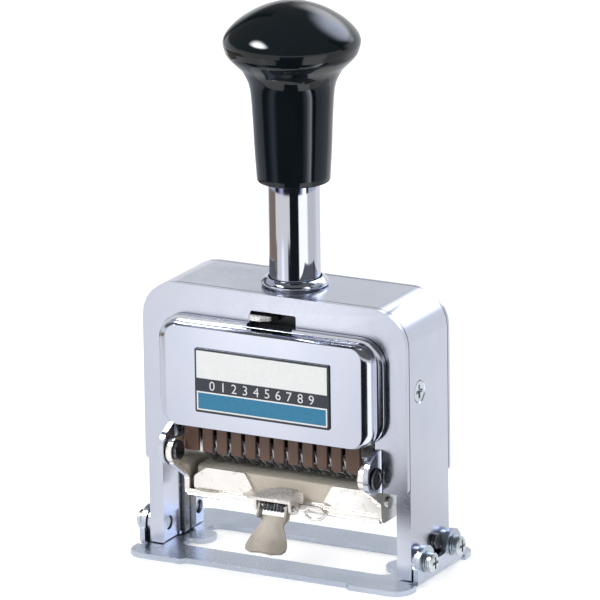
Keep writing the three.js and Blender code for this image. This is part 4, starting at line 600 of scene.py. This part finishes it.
# Front cover: half width, top, foot, corner radius and depth of each ring, back to front
COVER_RINGS = (
    (34.1, 69.0, 38.9, 7.5, -14.3),
    (34.1, 69.0, 38.9, 7.5, -15.7),
    (34.0, 68.93, 38.93, 7.4, -16.0),
    (33.6, 68.6, 39.0, 7.0, -16.2),
    (32.6, 68.2, 39.1, 5.8, -16.25),
    (32.3, 68.05, 39.1, 5.4, -16.35),
    (32.2, 67.98, 39.1, 5.2, -16.6),
    (32.2, 67.98, 39.1, 5.2, -18.3),
    (32.1, 67.93, 39.13, 5.1, -18.75),
    (31.75, 67.83, 39.16, 4.9, -19.3),
    (31.2, 67.7, 39.23, 4.5, -19.75),
    (30.55, 67.5, 39.3, 4.1, -20.15),
    (30.0, 67.4, 39.35, 3.75, -20.38),
    (29.5, 67.3, 39.4, 3.4, -20.5),
)
COVER_SKIN, COVER_LEAST_R, COVER_LEAST_STEP = 0.9, 0.6, 0.05

# The notch in the cover's rim that leaves room for the selector's tab: low and high corners
NOTCH_LOW, NOTCH_HIGH = (-6.9, -16.3, 67.7), (6.9, -0.9, 77.7)


def cover_ring(half, top, foot, radius, y, steps=10):
    ring = []
    for side, high, turn in ((1, 1, 0), (-1, 1, 90), (-1, 0, 180), (1, 0, 270)):
        for k in range(steps + 1):
            a = math.radians(turn + 90 * k / steps)
            x = side * (half - radius) + radius * math.cos(a)
            z = (top - radius if high else foot + radius) + radius * math.sin(a)
            ring.append(Vector((x, y, z)) * MM)
    return ring


def block(name, low, high):
    """A closed block between two corners, in millimetres."""
    across, deep, tall = zip(low, high)
    vertices = [Vector((x, y, z)) * MM for x in across for y in deep for z in tall]
    faces = [(0, 1, 3, 2), (4, 6, 7, 5), (0, 4, 5, 1), (2, 3, 7, 6), (0, 2, 6, 4), (1, 5, 7, 3)]
    return mesh_object(name, vertices, faces)


def cut_away(obj, tool):
    """Takes the tool's solid out of obj, and removes the tool."""
    cut = obj.modifiers.new("cut", "BOOLEAN")
    cut.object, cut.operation, cut.solver = tool, "DIFFERENCE", "EXACT"
    bpy.context.view_layer.update()
    shaped = bpy.data.meshes.new_from_object(obj.evaluated_get(bpy.context.evaluated_depsgraph_get()))
    obj.modifiers.clear()
    obj.data = shaped
    bpy.data.objects.remove(tool)


def cover_pressing():
    """Outer rings from back to front, then the inner skin from front to back, joined at the open back."""
    outer = len(COVER_RINGS)
    back_y = COVER_RINGS[0][4]
    rings = [cover_ring(*ring) for ring in COVER_RINGS]
    for half, top, foot, radius, y in reversed(COVER_RINGS):
        inner_r = max(radius - COVER_SKIN, COVER_LEAST_R)
        inner_y = min(y + COVER_SKIN, back_y)
        rings.append(cover_ring(half - COVER_SKIN, top - COVER_SKIN, foot + COVER_SKIN, inner_r, inner_y))

    def apart(i):
        return (rings[i][0] - rings[i - 1][0]).length > COVER_LEAST_STEP * MM

    rings = [ring for i, ring in enumerate(rings) if i < outer or apart(i)]
    span = len(rings[0])
    faces = [[(outer - 1) * span + k for k in range(span)], [outer * span + k for k in range(span)]]
    for i in range(len(rings)):
        if i != outer - 1:
            faces += strip_faces(i * span, (i + 1) % len(rings) * span, span)
    cover = mesh_object("cover_pressing", [v for ring in rings for v in ring], faces, cover_chrome)
    face_outward(cover)
    cut_away(cover, block("rim_gap", NOTCH_LOW, NOTCH_HIGH))
    stand_for(smooth_all(cover), "front_cover", "frame")


cover_pressing()

# Return spring: a coil of wire round the shaft's axis
SPRING_R, SPRING_WIRE, SPRING_CURLS, SPRING_STEPS = 4.2, 0.5, 13, 24
SPRING_FOOT, SPRING_HIGH = 49.3, 50.9

count = SPRING_CURLS * SPRING_STEPS
coil = []
for k in range(count + 1):
    turn = 2 * math.pi * k / SPRING_STEPS
    height = SPRING_FOOT + SPRING_HIGH * k / count
    coil.append((SPRING_R * math.cos(turn), AXIS_Y + SPRING_R * math.sin(turn), height))
spring = stand_for(tube("spring_coil", coil, SPRING_WIRE, steel), "return_spring", "frame")
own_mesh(spring)

# Clip spring: curls round the clip's pin, with a leg at each end
PIN_Y, PIN_Z = -13.6, 17.7
CURL_R, CURL_WIRE, CURLS, CURL_STEPS = 1.3, 0.27, 6, 20
CURL_START, CURL_LONG = -3.7, 6.2
LEG_OUT = ((0.3, 2), (0.1, 0.7))

count = CURLS * CURL_STEPS
curl_end = CURL_START + CURL_LONG
coil = [(CURL_START - aside, PIN_Y + CURL_R, PIN_Z + up) for aside, up in LEG_OUT]
for k in range(count + 1):
    turn = 2 * math.pi * k / CURL_STEPS
    x = CURL_START + CURL_LONG * k / count
    coil.append((x, PIN_Y + CURL_R * math.cos(turn), PIN_Z - CURL_R * math.sin(turn)))
coil += [(curl_end + aside, PIN_Y + CURL_R, PIN_Z + up) for aside, up in reversed(LEG_OUT)]
clip_coil = tube("clip_coil", coil, CURL_WIRE, black_steel, 8)
stand_for(clip_coil, "clip_spring", "ink_bracket_body")

# Wire hook: an open loop beside the clip
HOOK_WIRE, HOOK_Y, HOOK_CURVE_STEPS = 0.42, -10.87, 8
HOOK = (
    (6.6, -12.47, 17.9), (8.38, -11.51, 18.4), (10.56, HOOK_Y, 18.12), (12.54, HOOK_Y, 17.5),
    (13.2, HOOK_Y, 16.2), (11.88, HOOK_Y, 14.88), (9.57, HOOK_Y, 14.5), (7.79, HOOK_Y, 15.3),
    (7.59, HOOK_Y, 16.58),
)
hook = tube("wire_hook", through(HOOK, HOOK_CURVE_STEPS), HOOK_WIRE, nickel)
stand_for(hook, "clip_hook", "ink_bracket_body")

# Number wheels: middles of their bodies, their axis, and their type
WHEEL_COUNT, WHEEL_FIRST_X, WHEEL_PITCH = 11, -23.418, 4.3636
WHEEL_Y, WHEEL_Z = -0.5, 35.0
TYPE_FACE_R, TYPE_OFFSET_X, TYPE_HIGH, TYPE_SUNK = 10.23, 0.375, 0.3, 0.02
WHEEL_X = [WHEEL_FIRST_X + WHEEL_PITCH * i for i in range(WHEEL_COUNT)]

# Felt pad: a block with rounded edges, a soft crown, matted fibres and the marks of the type
FELT_X, FELT_FRONT, FELT_BACK, FELT_LOW, FELT_TOP = 27.6, -7.95, 4.3, 17.9, 24.2
FELT_SLOPE_Y, FELT_BACK_LOW = -0.9, 20.4
FELT_R, FELT_FOOT_R, FELT_CORNER_STEPS = 1.1, 0.4, 3
FELT_CELL, FELT_ROW = 0.55, 0.6
FELT_ENDS = ((0, 0.82), (0.1, 0.9), (0.35, 0.965), (0.8, 1.0))
FINE_FIBRE, COARSE_FIBRE = (1.3, 0.07), (0.35, 0.05)
CROWN_UNDER, CROWN_FALL, CROWN_Y, CROWN_ZONE = 0.13, 0.004, -1.8, 0.4
MARK_OFFSET, MARK_HALF_X, MARK_HALF_Y, MARK_DEEP = 0.37, 1.5, 2.1, 0.22


def felt_section():
    """The pad's outline across its length, as (depth, height)."""
    corners = [
        Vector((FELT_FRONT, FELT_LOW)), Vector((FELT_SLOPE_Y, FELT_LOW)), Vector((FELT_BACK, FELT_BACK_LOW)),
        Vector((FELT_BACK, FELT_TOP)), Vector((FELT_FRONT, FELT_TOP)),
    ]
    radii = [FELT_FOOT_R, FELT_FOOT_R, FELT_FOOT_R, FELT_R, FELT_R]
    section = []
    for i, here in enumerate(corners):
        before, after = corners[i - 1], corners[(i + 1) % len(corners)]
        inward, onward = (before - here).normalized(), (after - here).normalized()
        for k in range(FELT_CORNER_STEPS + 1):
            t = k / FELT_CORNER_STEPS
            a, b = here + inward * radii[i], here + onward * radii[i]
            section.append((1 - t) ** 2 * a + 2 * t * (1 - t) * here + t ** 2 * b)
        start, end = here + onward * radii[i], after - onward * radii[(i + 1) % len(radii)]
        count = max(2, int((end - start).length / FELT_CELL))
        section += [start.lerp(end, k / count) for k in range(1, count)]
    return section


def felt_stations():
    """Places along the pad, each with the share of its outline there."""
    rounded = FELT_ENDS[-1][0]
    inner = 2 * (FELT_X - rounded)
    count = int(inner / FELT_ROW)
    stations = [(-FELT_X + inset, share) for inset, share in FELT_ENDS]
    stations += [(-FELT_X + rounded + inner * k / count, 1.0) for k in range(1, count)]
    return stations + [(FELT_X - inset, share) for inset, share in reversed(FELT_ENDS)]


def felt_point(x, y, z, share, middle):
    spot = Vector((x, y, z))
    lift = sum(noise.noise(spot * scale) * size for scale, size in (FINE_FIBRE, COARSE_FIBRE))
    if z > FELT_TOP - CROWN_ZONE:
        aside = min(abs(x - wheel - MARK_OFFSET) for wheel in WHEEL_X)
        marked = aside < MARK_HALF_X and abs(y - WHEEL_Y) < MARK_HALF_Y
        z = FELT_TOP - CROWN_UNDER - CROWN_FALL * (y - CROWN_Y) ** 2 - (MARK_DEEP if marked else 0.0) + lift
    elif share == 1.0:
        y += lift if y > middle[0] else -lift
    return Vector((x, min(max(y, FELT_FRONT), FELT_BACK), min(z, FELT_TOP))) * MM


def felt_pad():
    section, stations = felt_section(), felt_stations()
    middle = Vector(((FELT_FRONT + FELT_BACK) / 2, (FELT_LOW + FELT_TOP) / 2))
    vertices, faces = [], []
    for x, share in stations:
        for point in section:
            y, z = middle + (point - middle) * share
            vertices.append(felt_point(x, y, z, share, middle))
    span = len(section)
    for i in range(len(stations) - 1):
        faces += strip_faces(i * span, (i + 1) * span, span)
    faces += [list(range(span)), [(len(stations) - 1) * span + k for k in range(span)]]
    pad = smooth_all(mesh_object("felt_block", vertices, faces, felt))
    stand_for(pad, "ink_pad", "ink_bracket_body")


felt_pad()


# Plain digits: raised and mirrored on the wheels, printed on the label's dark band
def digit_mesh(text, size, depth, spread):
    """The vertices and faces of a plain digit, centred, in millimetres."""
    curve = bpy.data.curves.new("digit", "FONT")
    curve.body, curve.size, curve.extrude = text, size, depth / 2
    curve.align_x, curve.align_y, curve.resolution_u = "CENTER", "CENTER", 3
    curve.offset = spread
    holder = bpy.data.objects.new("digit", curve)
    scene.collection.objects.link(holder)
    bpy.context.view_layer.update()
    mesh = bpy.data.meshes.new_from_object(holder.evaluated_get(bpy.context.evaluated_depsgraph_get()))
    points = [v.co.copy() for v in mesh.vertices]
    faces = [list(p.vertices) for p in mesh.polygons]
    bpy.data.objects.remove(holder)
    bpy.data.curves.remove(curve)
    bpy.data.meshes.remove(mesh)
    low_x, high_x = min(p.x for p in points), max(p.x for p in points)
    low_y, high_y = min(p.y for p in points), max(p.y for p in points)
    centre = Vector(((low_x + high_x) / 2, (low_y + high_y) / 2, 0))
    return [p - centre for p in points], faces


def digit_row(name, placed, material, body):
    """One piece from digits: each entry is a digit's mesh and the function that places its points."""
    vertices, faces = [], []
    for (points, cells), put in placed:
        faces += [[v + len(vertices) for v in cell] for cell in cells]
        vertices += [put(p) * MM for p in points]
    row = smooth_all(mesh_object(name, vertices, faces, material))
    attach(row, body)


DIGITS = 10
TYPE_SIZE, TYPE_SPREAD, TYPE_WIDTH_SHARE = 5.4, 0.02, 0.86
FIRST_DIGIT_TURN, DIGIT_TURN = -90, 360 / DIGITS


def on_wheel(wheel_x, turn):
    """Places a mirrored digit on a wheel's rim, at turn degrees round its axle."""
    turn = math.radians(turn)
    out = Vector((0, math.cos(turn), math.sin(turn)))
    upright = Vector((0, -math.sin(turn), math.cos(turn)))
    middle_r = TYPE_FACE_R + TYPE_HIGH / 2 - TYPE_SUNK
    centre = Vector((wheel_x + TYPE_OFFSET_X, WHEEL_Y, WHEEL_Z)) + out * middle_r
    return lambda p: centre + Vector((p.x * TYPE_WIDTH_SHARE, 0, 0)) + upright * p.y + out * p.z


type_digits = [digit_mesh(str(n), TYPE_SIZE, TYPE_HIGH, TYPE_SPREAD) for n in range(DIGITS)]
for i, wheel_x in enumerate(WHEEL_X):
    turns = [FIRST_DIGIT_TURN + DIGIT_TURN * k for k in range(DIGITS)]
    placed = [(digit, on_wheel(wheel_x, turn)) for digit, turn in zip(type_digits, turns)]
    number = "%02d" % (i + 1)
    digit_row("type_digits_" + number, placed, dark_ink, "number_wheel_" + number + "_body")

PRINT_Y, PRINT_DEPTH = -21.12, 0.03
PRINT_SIZE, PRINT_SPREAD, PRINT_PITCH = 3.75, -0.012, 3.35
PRINT_Z = (LABEL_DARK_LOW + LABEL_DARK_HIGH) / 2


def on_label(n):
    """Places the digit n on the label's dark band."""
    centre = Vector(((n - (DIGITS - 1) / 2) * PRINT_PITCH, PRINT_Y - PRINT_DEPTH / 2, PRINT_Z))
    return lambda p: centre + Vector((p.x, -p.z, p.y))


printed = [digit_mesh(str(n), PRINT_SIZE, PRINT_DEPTH, PRINT_SPREAD) for n in range(DIGITS)]
placed = [(digit, on_label(n)) for n, digit in enumerate(printed)]
digit_row("label_digits", placed, white_ink, "frame")


# Stage: floor, studio cards that only reflections see, lamps and world
FLOOR_HALF, FLOOR_GLOW = 9000, 0.45
TOP_LIGHT = 8.0
SKY_DARK, WORLD_LIGHT = 0.16, 0.55

# Card colours, as light
LAVENDER, PALE, DARK = (1.0, 1.0, 1.03), (0.93, 0.94, 0.97), (0.012, 0.014, 0.018)
GREY, WHITE, BROWN = (0.80, 0.80, 0.80), (1.64, 1.64, 1.67), (0.30, 0.235, 0.19)
CREAM, DAYLIGHT = (1.0, 0.98, 0.955), (0.95, 0.97, 1.0)

# Round the object, in degrees from the front toward the right
GROUND_STOPS = (
    (-180, PALE), (-118, PALE), (-53, LAVENDER), (-4, LAVENDER), (0, DARK), (45, DARK),
    (49, WHITE), (84, WHITE), (90, GREY), (125, GREY), (140, PALE), (180, PALE),
)
FLAG_STOPS = (
    (-120, (0.62, 0.66, 0.74)), (-57, (0.5, 0.54, 0.62)), (-52.6, DARK), (-40, DARK),
    (-23.6, (0.62, 0.66, 0.95)), (-11.7, DARK), (50.3, DARK), (61.2, (0.7, 0.75, 0.9)),
    (69.9, (3.2, 3.5, 4.2)), (73.3, (5.0, 5.4, 6.3)), (76.1, (0.9, 0.95, 1.1)), (78.7, DARK),
    (85.4, DARK), (88.6, (0.5, 0.54, 0.62)), (138.9, (0.62, 0.66, 0.74)),
)

# A brighter stripe on the ground in front: its way, its shift aside, its widths and its reach
STRIPE_ALONG, STRIPE_ACROSS, STRIPE_SHIFT = (-0.469, -0.883), (0.883, -0.469), 9.6
STRIPE_LIFT, STRIPE_WIDE, STRIPE_REACH, STRIPE_NEAR_SHARE = 0.6, (4, 46), (130, 260), 0.35


def emission(g, colour, strength):
    light = g.add("ShaderNodeEmission")
    g.connect(colour, light.inputs["Color"])
    g.connect(strength, light.inputs["Strength"])
    return light.outputs[0]


def emission_material(name, colour, strength):
    g = Graph(name)
    g.link(emission(g, colour, strength), g.output.inputs["Surface"])
    return g.material


def floor_material():
    """Pale floor that camera, reflections and transmission see brighter, and that keeps the shadow."""
    g = Graph("floor_white")
    g.set(Base_Color=(0.62, 0.62, 0.63, 1), Roughness=0.9)
    path = g.add("ShaderNodeLightPath")
    seen = g.math("ADD", path.outputs["Is Camera Ray"], path.outputs["Is Glossy Ray"])
    seen = g.math("MINIMUM", g.math("ADD", seen, path.outputs["Is Transmission Ray"]), 1.0)
    both = g.add("ShaderNodeAddShader")
    g.link(g.shader.outputs[0], both.inputs[0])
    g.link(emission(g, (1, 1, 1), g.math("MULTIPLY", seen, FLOOR_GLOW)), both.inputs[1])
    g.link(both.outputs[0], g.output.inputs["Surface"])
    return g.material


def reflector(obj):
    """Marks a studio card: only reflections see it."""
    obj.visible_camera = False
    obj.visible_diffuse = False
    obj.visible_shadow = False
    obj.visible_transmission = False
    return obj


def around(name, stops, stripe=False):
    """A light that changes with the direction round the object."""
    g = Graph(name)
    split = g.add("ShaderNodeSeparateXYZ")
    g.link(g.place(), split.inputs[0])
    x, y = split.outputs["X"], split.outputs["Y"]
    turn = g.math("ARCTAN2", x, g.math("MULTIPLY", y, -1.0))
    share = g.grey(turn, 0.0, 1.0, -math.pi, math.pi)
    colour = g.ramp(share, [((a + 180) / 360, tuple(c / TOP_LIGHT for c in rgb)) for a, rgb in stops])
    strength = TOP_LIGHT
    if stripe:
        aside, along = (
            g.math("ADD", g.math("MULTIPLY", x, way[0]), g.math("MULTIPLY", y, way[1]))
            for way in (STRIPE_ACROSS, STRIPE_ALONG))
        aside = g.math("ABSOLUTE", g.math("SUBTRACT", aside, STRIPE_SHIFT))
        rise = g.grey(along, STRIPE_NEAR_SHARE, 1.0, *STRIPE_REACH)
        lift = g.math("MULTIPLY", g.grey(aside, STRIPE_LIFT, 0.0, *STRIPE_WIDE), rise)
        strength = g.math("MULTIPLY", g.math("ADD", lift, 1.0), TOP_LIGHT)
    g.link(emission(g, colour, strength), g.output.inputs["Surface"])
    return g.material


# Curved cards: azimuths from and to in degrees, radii near and far, heights low and high, and steps
CARDS = {
    "ground_card": ((-180, 180), (60, 1100), (0.6, 0.6), 72),
    "brown_card": ((-118, -56), (255, 520), (0.9, 0.9), 16),
    "knob_flag": ((-120, 139), (40, 40), (94.6, 120), 60),
    "tray_card": ((-62, 8), (220, 220), (30, 185), 20),
    "back_wall": ((118, 236), (1500, 1500), (0, 1900), 60),
}


def curved_card(name, material):
    """A card round the object, from near and low to far and high."""
    (start, end), (near, far), (low, high), steps = CARDS[name]
    vertices = []
    for i in range(steps + 1):
        turn = math.radians(start + (end - start) * i / steps)
        way = Vector((math.sin(turn), -math.cos(turn), 0))
        vertices += [(way * near + Vector((0, 0, low))) * MM, (way * far + Vector((0, 0, high))) * MM]
    faces = [(2 * i, 2 * i + 1, 2 * i + 3, 2 * i + 2) for i in range(steps)]
    return reflector(mesh_object(name, vertices, faces, material))


def flat_sheet(name, half_wide, half_high, material):
    corners = ((-1, -1), (1, -1), (1, 1), (-1, 1))
    vertices = [Vector((x * half_wide, y * half_high, 0)) * MM for x, y in corners]
    return mesh_object(name, vertices, [(0, 1, 2, 3)], material)


flat_sheet("floor", FLOOR_HALF, FLOOR_HALF, floor_material())
curved_card("ground_card", around("ground_light", GROUND_STOPS, True))
curved_card("brown_card", emission_material("brown_light", BROWN, 1.0))
curved_card("knob_flag", around("flag_light", FLAG_STOPS))
curved_card("tray_card", emission_material("tray_light", CREAM, 1.0))


# Flat panels that face the knob: centre, size, strength, share of the soft edge, and colour
PANEL_TARGET = (0, 0, 145)
PANELS = {
    "panel_left": ((-560, -510, 930), (760, 440), 34.0, 0.38, DAYLIGHT),
    "panel_right": ((542, 1276, 569), (600, 460), 3.0, 0.4, (0.78, 0.84, 1.0)),
    "panel_high": ((400, 1100, 1085), (1350, 1400), 6.2, 0.38, (0.74, 0.81, 1.0)),
}


def soft_panel(name, centre, size, strength, edge, colour):
    """A card that is bright in its middle and soft towards its edges."""
    g = Graph(name)
    texture = g.add("ShaderNodeTexCoord")
    split = g.add("ShaderNodeSeparateXYZ")
    g.link(texture.outputs["Generated"], split.inputs[0])
    squares = [g.math("POWER", g.math("SUBTRACT", split.outputs[axis], 0.5), 2) for axis in ("X", "Y")]
    away = g.math("SQRT", g.math("ADD", *squares))
    clear = g.add("ShaderNodeBsdfTransparent")
    blend = g.add("ShaderNodeMixShader")
    g.link(g.soft(away, 0.5 - edge, 0.5, 1.0, 0.0), blend.inputs["Fac"])
    g.link(clear.outputs[0], blend.inputs[1])
    g.link(emission(g, colour, strength), blend.inputs[2])
    g.link(blend.outputs[0], g.output.inputs["Surface"])
    panel = flat_sheet(name, size[0] / 2, size[1] / 2, g.material)
    place = Vector(centre) * MM
    turn = (Vector(PANEL_TARGET) * MM - place).to_track_quat("-Z", "Y").to_matrix().to_4x4()
    panel.matrix_world = Matrix.Translation(place) @ turn
    return reflector(panel)


# Back wall: the heights and ends, in degrees from the back toward the right, of its two fields
HORIZON_FADE, HORIZON_RIGHT, HORIZON_LEFT = (460, 800), (62, 40), (-56, -38)
FIELD_LIGHT, FIELD_LOW, FIELD_HIGH = 3.6, (480, 900), (1800, 1100)
FIELD_RIGHT, FIELD_LEFT = (44, 20), (-32, -2)


def back_wall():
    """Light behind the object: an even horizon and a bright field above it, soft at its ends."""
    g = Graph("back_wall_light")
    split = g.add("ShaderNodeSeparateXYZ")
    g.link(g.place(), split.inputs[0])
    turn = g.math("ARCTAN2", split.outputs["X"], split.outputs["Y"])
    height = split.outputs["Z"]

    def ends(right, left):
        right_end, left_end = (g.soft(turn, *(math.radians(a) for a in span)) for span in (right, left))
        return g.math("MULTIPLY", right_end, left_end)

    horizon = g.soft(height, *HORIZON_FADE, 1.0, SKY_DARK)
    horizon = g.math("MULTIPLY", horizon, ends(HORIZON_RIGHT, HORIZON_LEFT))
    field = g.math("MULTIPLY", g.soft(height, *FIELD_LOW), g.soft(height, *FIELD_HIGH))
    field = g.math("MULTIPLY", field, ends(FIELD_RIGHT, FIELD_LEFT))
    strength = g.math("ADD", horizon, g.math("MULTIPLY", field, FIELD_LIGHT))
    g.link(emission(g, DAYLIGHT, strength), g.output.inputs["Surface"])
    curved_card("back_wall", g.material)


back_wall()
for name, panel in PANELS.items():
    soft_panel(name, *panel)

# Lamps: size, place, target and power
LAMPS = {
    "softbox_key": ((700, 700), (620, 250, 820), (0, 0, 80), 4.6),
    "softbox_back": ((900, 500), (80, 900, 620), (0, 0, 80), 3.0),
    "softbox_left": ((260, 260), (-545, -545, 860), (0, 0, 80), 2.4),
    "softbox_front": ((600, 600), (-250, -1000, 700), (0, 0, 60), 5.0),
}


def area_lamp(name, size, place, target, power):
    lamp = bpy.data.lights.new(name, "AREA")
    lamp.shape = "RECTANGLE"
    lamp.size, lamp.size_y = (s * MM for s in size)
    lamp.energy = power
    obj = bpy.data.objects.new(name, lamp)
    obj.location = Vector(place) * MM
    obj.rotation_euler = (Vector(target) * MM - obj.location).to_track_quat("-Z", "Y").to_euler()
    obj.visible_glossy = False
    scene.collection.objects.link(obj)


for name, lamp in LAMPS.items():
    area_lamp(name, *lamp)


def studio_world():
    """White to the camera, a pale horizon under a dark ceiling to reflections, and even to the rest."""
    world = bpy.data.worlds.new("studio")
    scene.world = world
    world.use_nodes = True
    tree = world.node_tree
    background = tree.nodes["Background"]
    background.inputs["Color"].default_value = (0.97, 0.98, 1.0, 1)
    path = tree.nodes.new("ShaderNodeLightPath")
    direction = tree.nodes.new("ShaderNodeTexCoord")
    split = tree.nodes.new("ShaderNodeSeparateXYZ")
    tree.links.new(direction.outputs["Generated"], split.inputs[0])
    sky = tree.nodes.new("ShaderNodeMapRange")
    sky.interpolation_type = "SMOOTHSTEP"
    tree.links.new(split.outputs["Z"], sky.inputs["Value"])
    for key, value in (("From Min", 0.05), ("From Max", 0.24), ("To Min", 1.0), ("To Max", SKY_DARK)):
        sky.inputs[key].default_value = value
    lit = tree.nodes.new("ShaderNodeMix")
    lit.inputs["A"].default_value = WORLD_LIGHT
    tree.links.new(path.outputs["Is Glossy Ray"], lit.inputs["Factor"])
    tree.links.new(sky.outputs["Result"], lit.inputs["B"])
    shown = tree.nodes.new("ShaderNodeMix")
    shown.inputs["B"].default_value = 1.0
    tree.links.new(path.outputs["Is Camera Ray"], shown.inputs["Factor"])
    tree.links.new(lit.outputs["Result"], shown.inputs["A"])
    tree.links.new(shown.outputs["Result"], background.inputs["Strength"])


studio_world()

# Camera
azimuth, elevation, roll = (math.radians(a) for a in (VIEW_AZIMUTH, VIEW_ELEVATION, VIEW_ROLL))
level = math.cos(elevation)
back = Vector((math.sin(azimuth) * level, -math.cos(azimuth) * level, math.sin(elevation)))
right = Vector((0, 0, 1)).cross(back).normalized()
up = back.cross(right)
turned_right = right * math.cos(roll) + up * math.sin(roll)
turned_up = up * math.cos(roll) - right * math.sin(roll)
camera = bpy.data.objects.new("camera", bpy.data.cameras.new("camera"))
scene.collection.objects.link(camera)
camera.data.sensor_width = SENSOR
camera.data.lens = FOCAL_PIXELS * SENSOR / PICTURE_PIXELS
camera.data.clip_end = CAMERA_SEES_TO
place = (Vector(VIEW_AIM) + back * VIEW_DISTANCE) * MM
turn = Matrix((turned_right, turned_up, back)).transposed().to_4x4()
camera.matrix_world = Matrix.Translation(place) @ turn
scene.camera = camera
scene.view_settings.view_transform = "Standard"
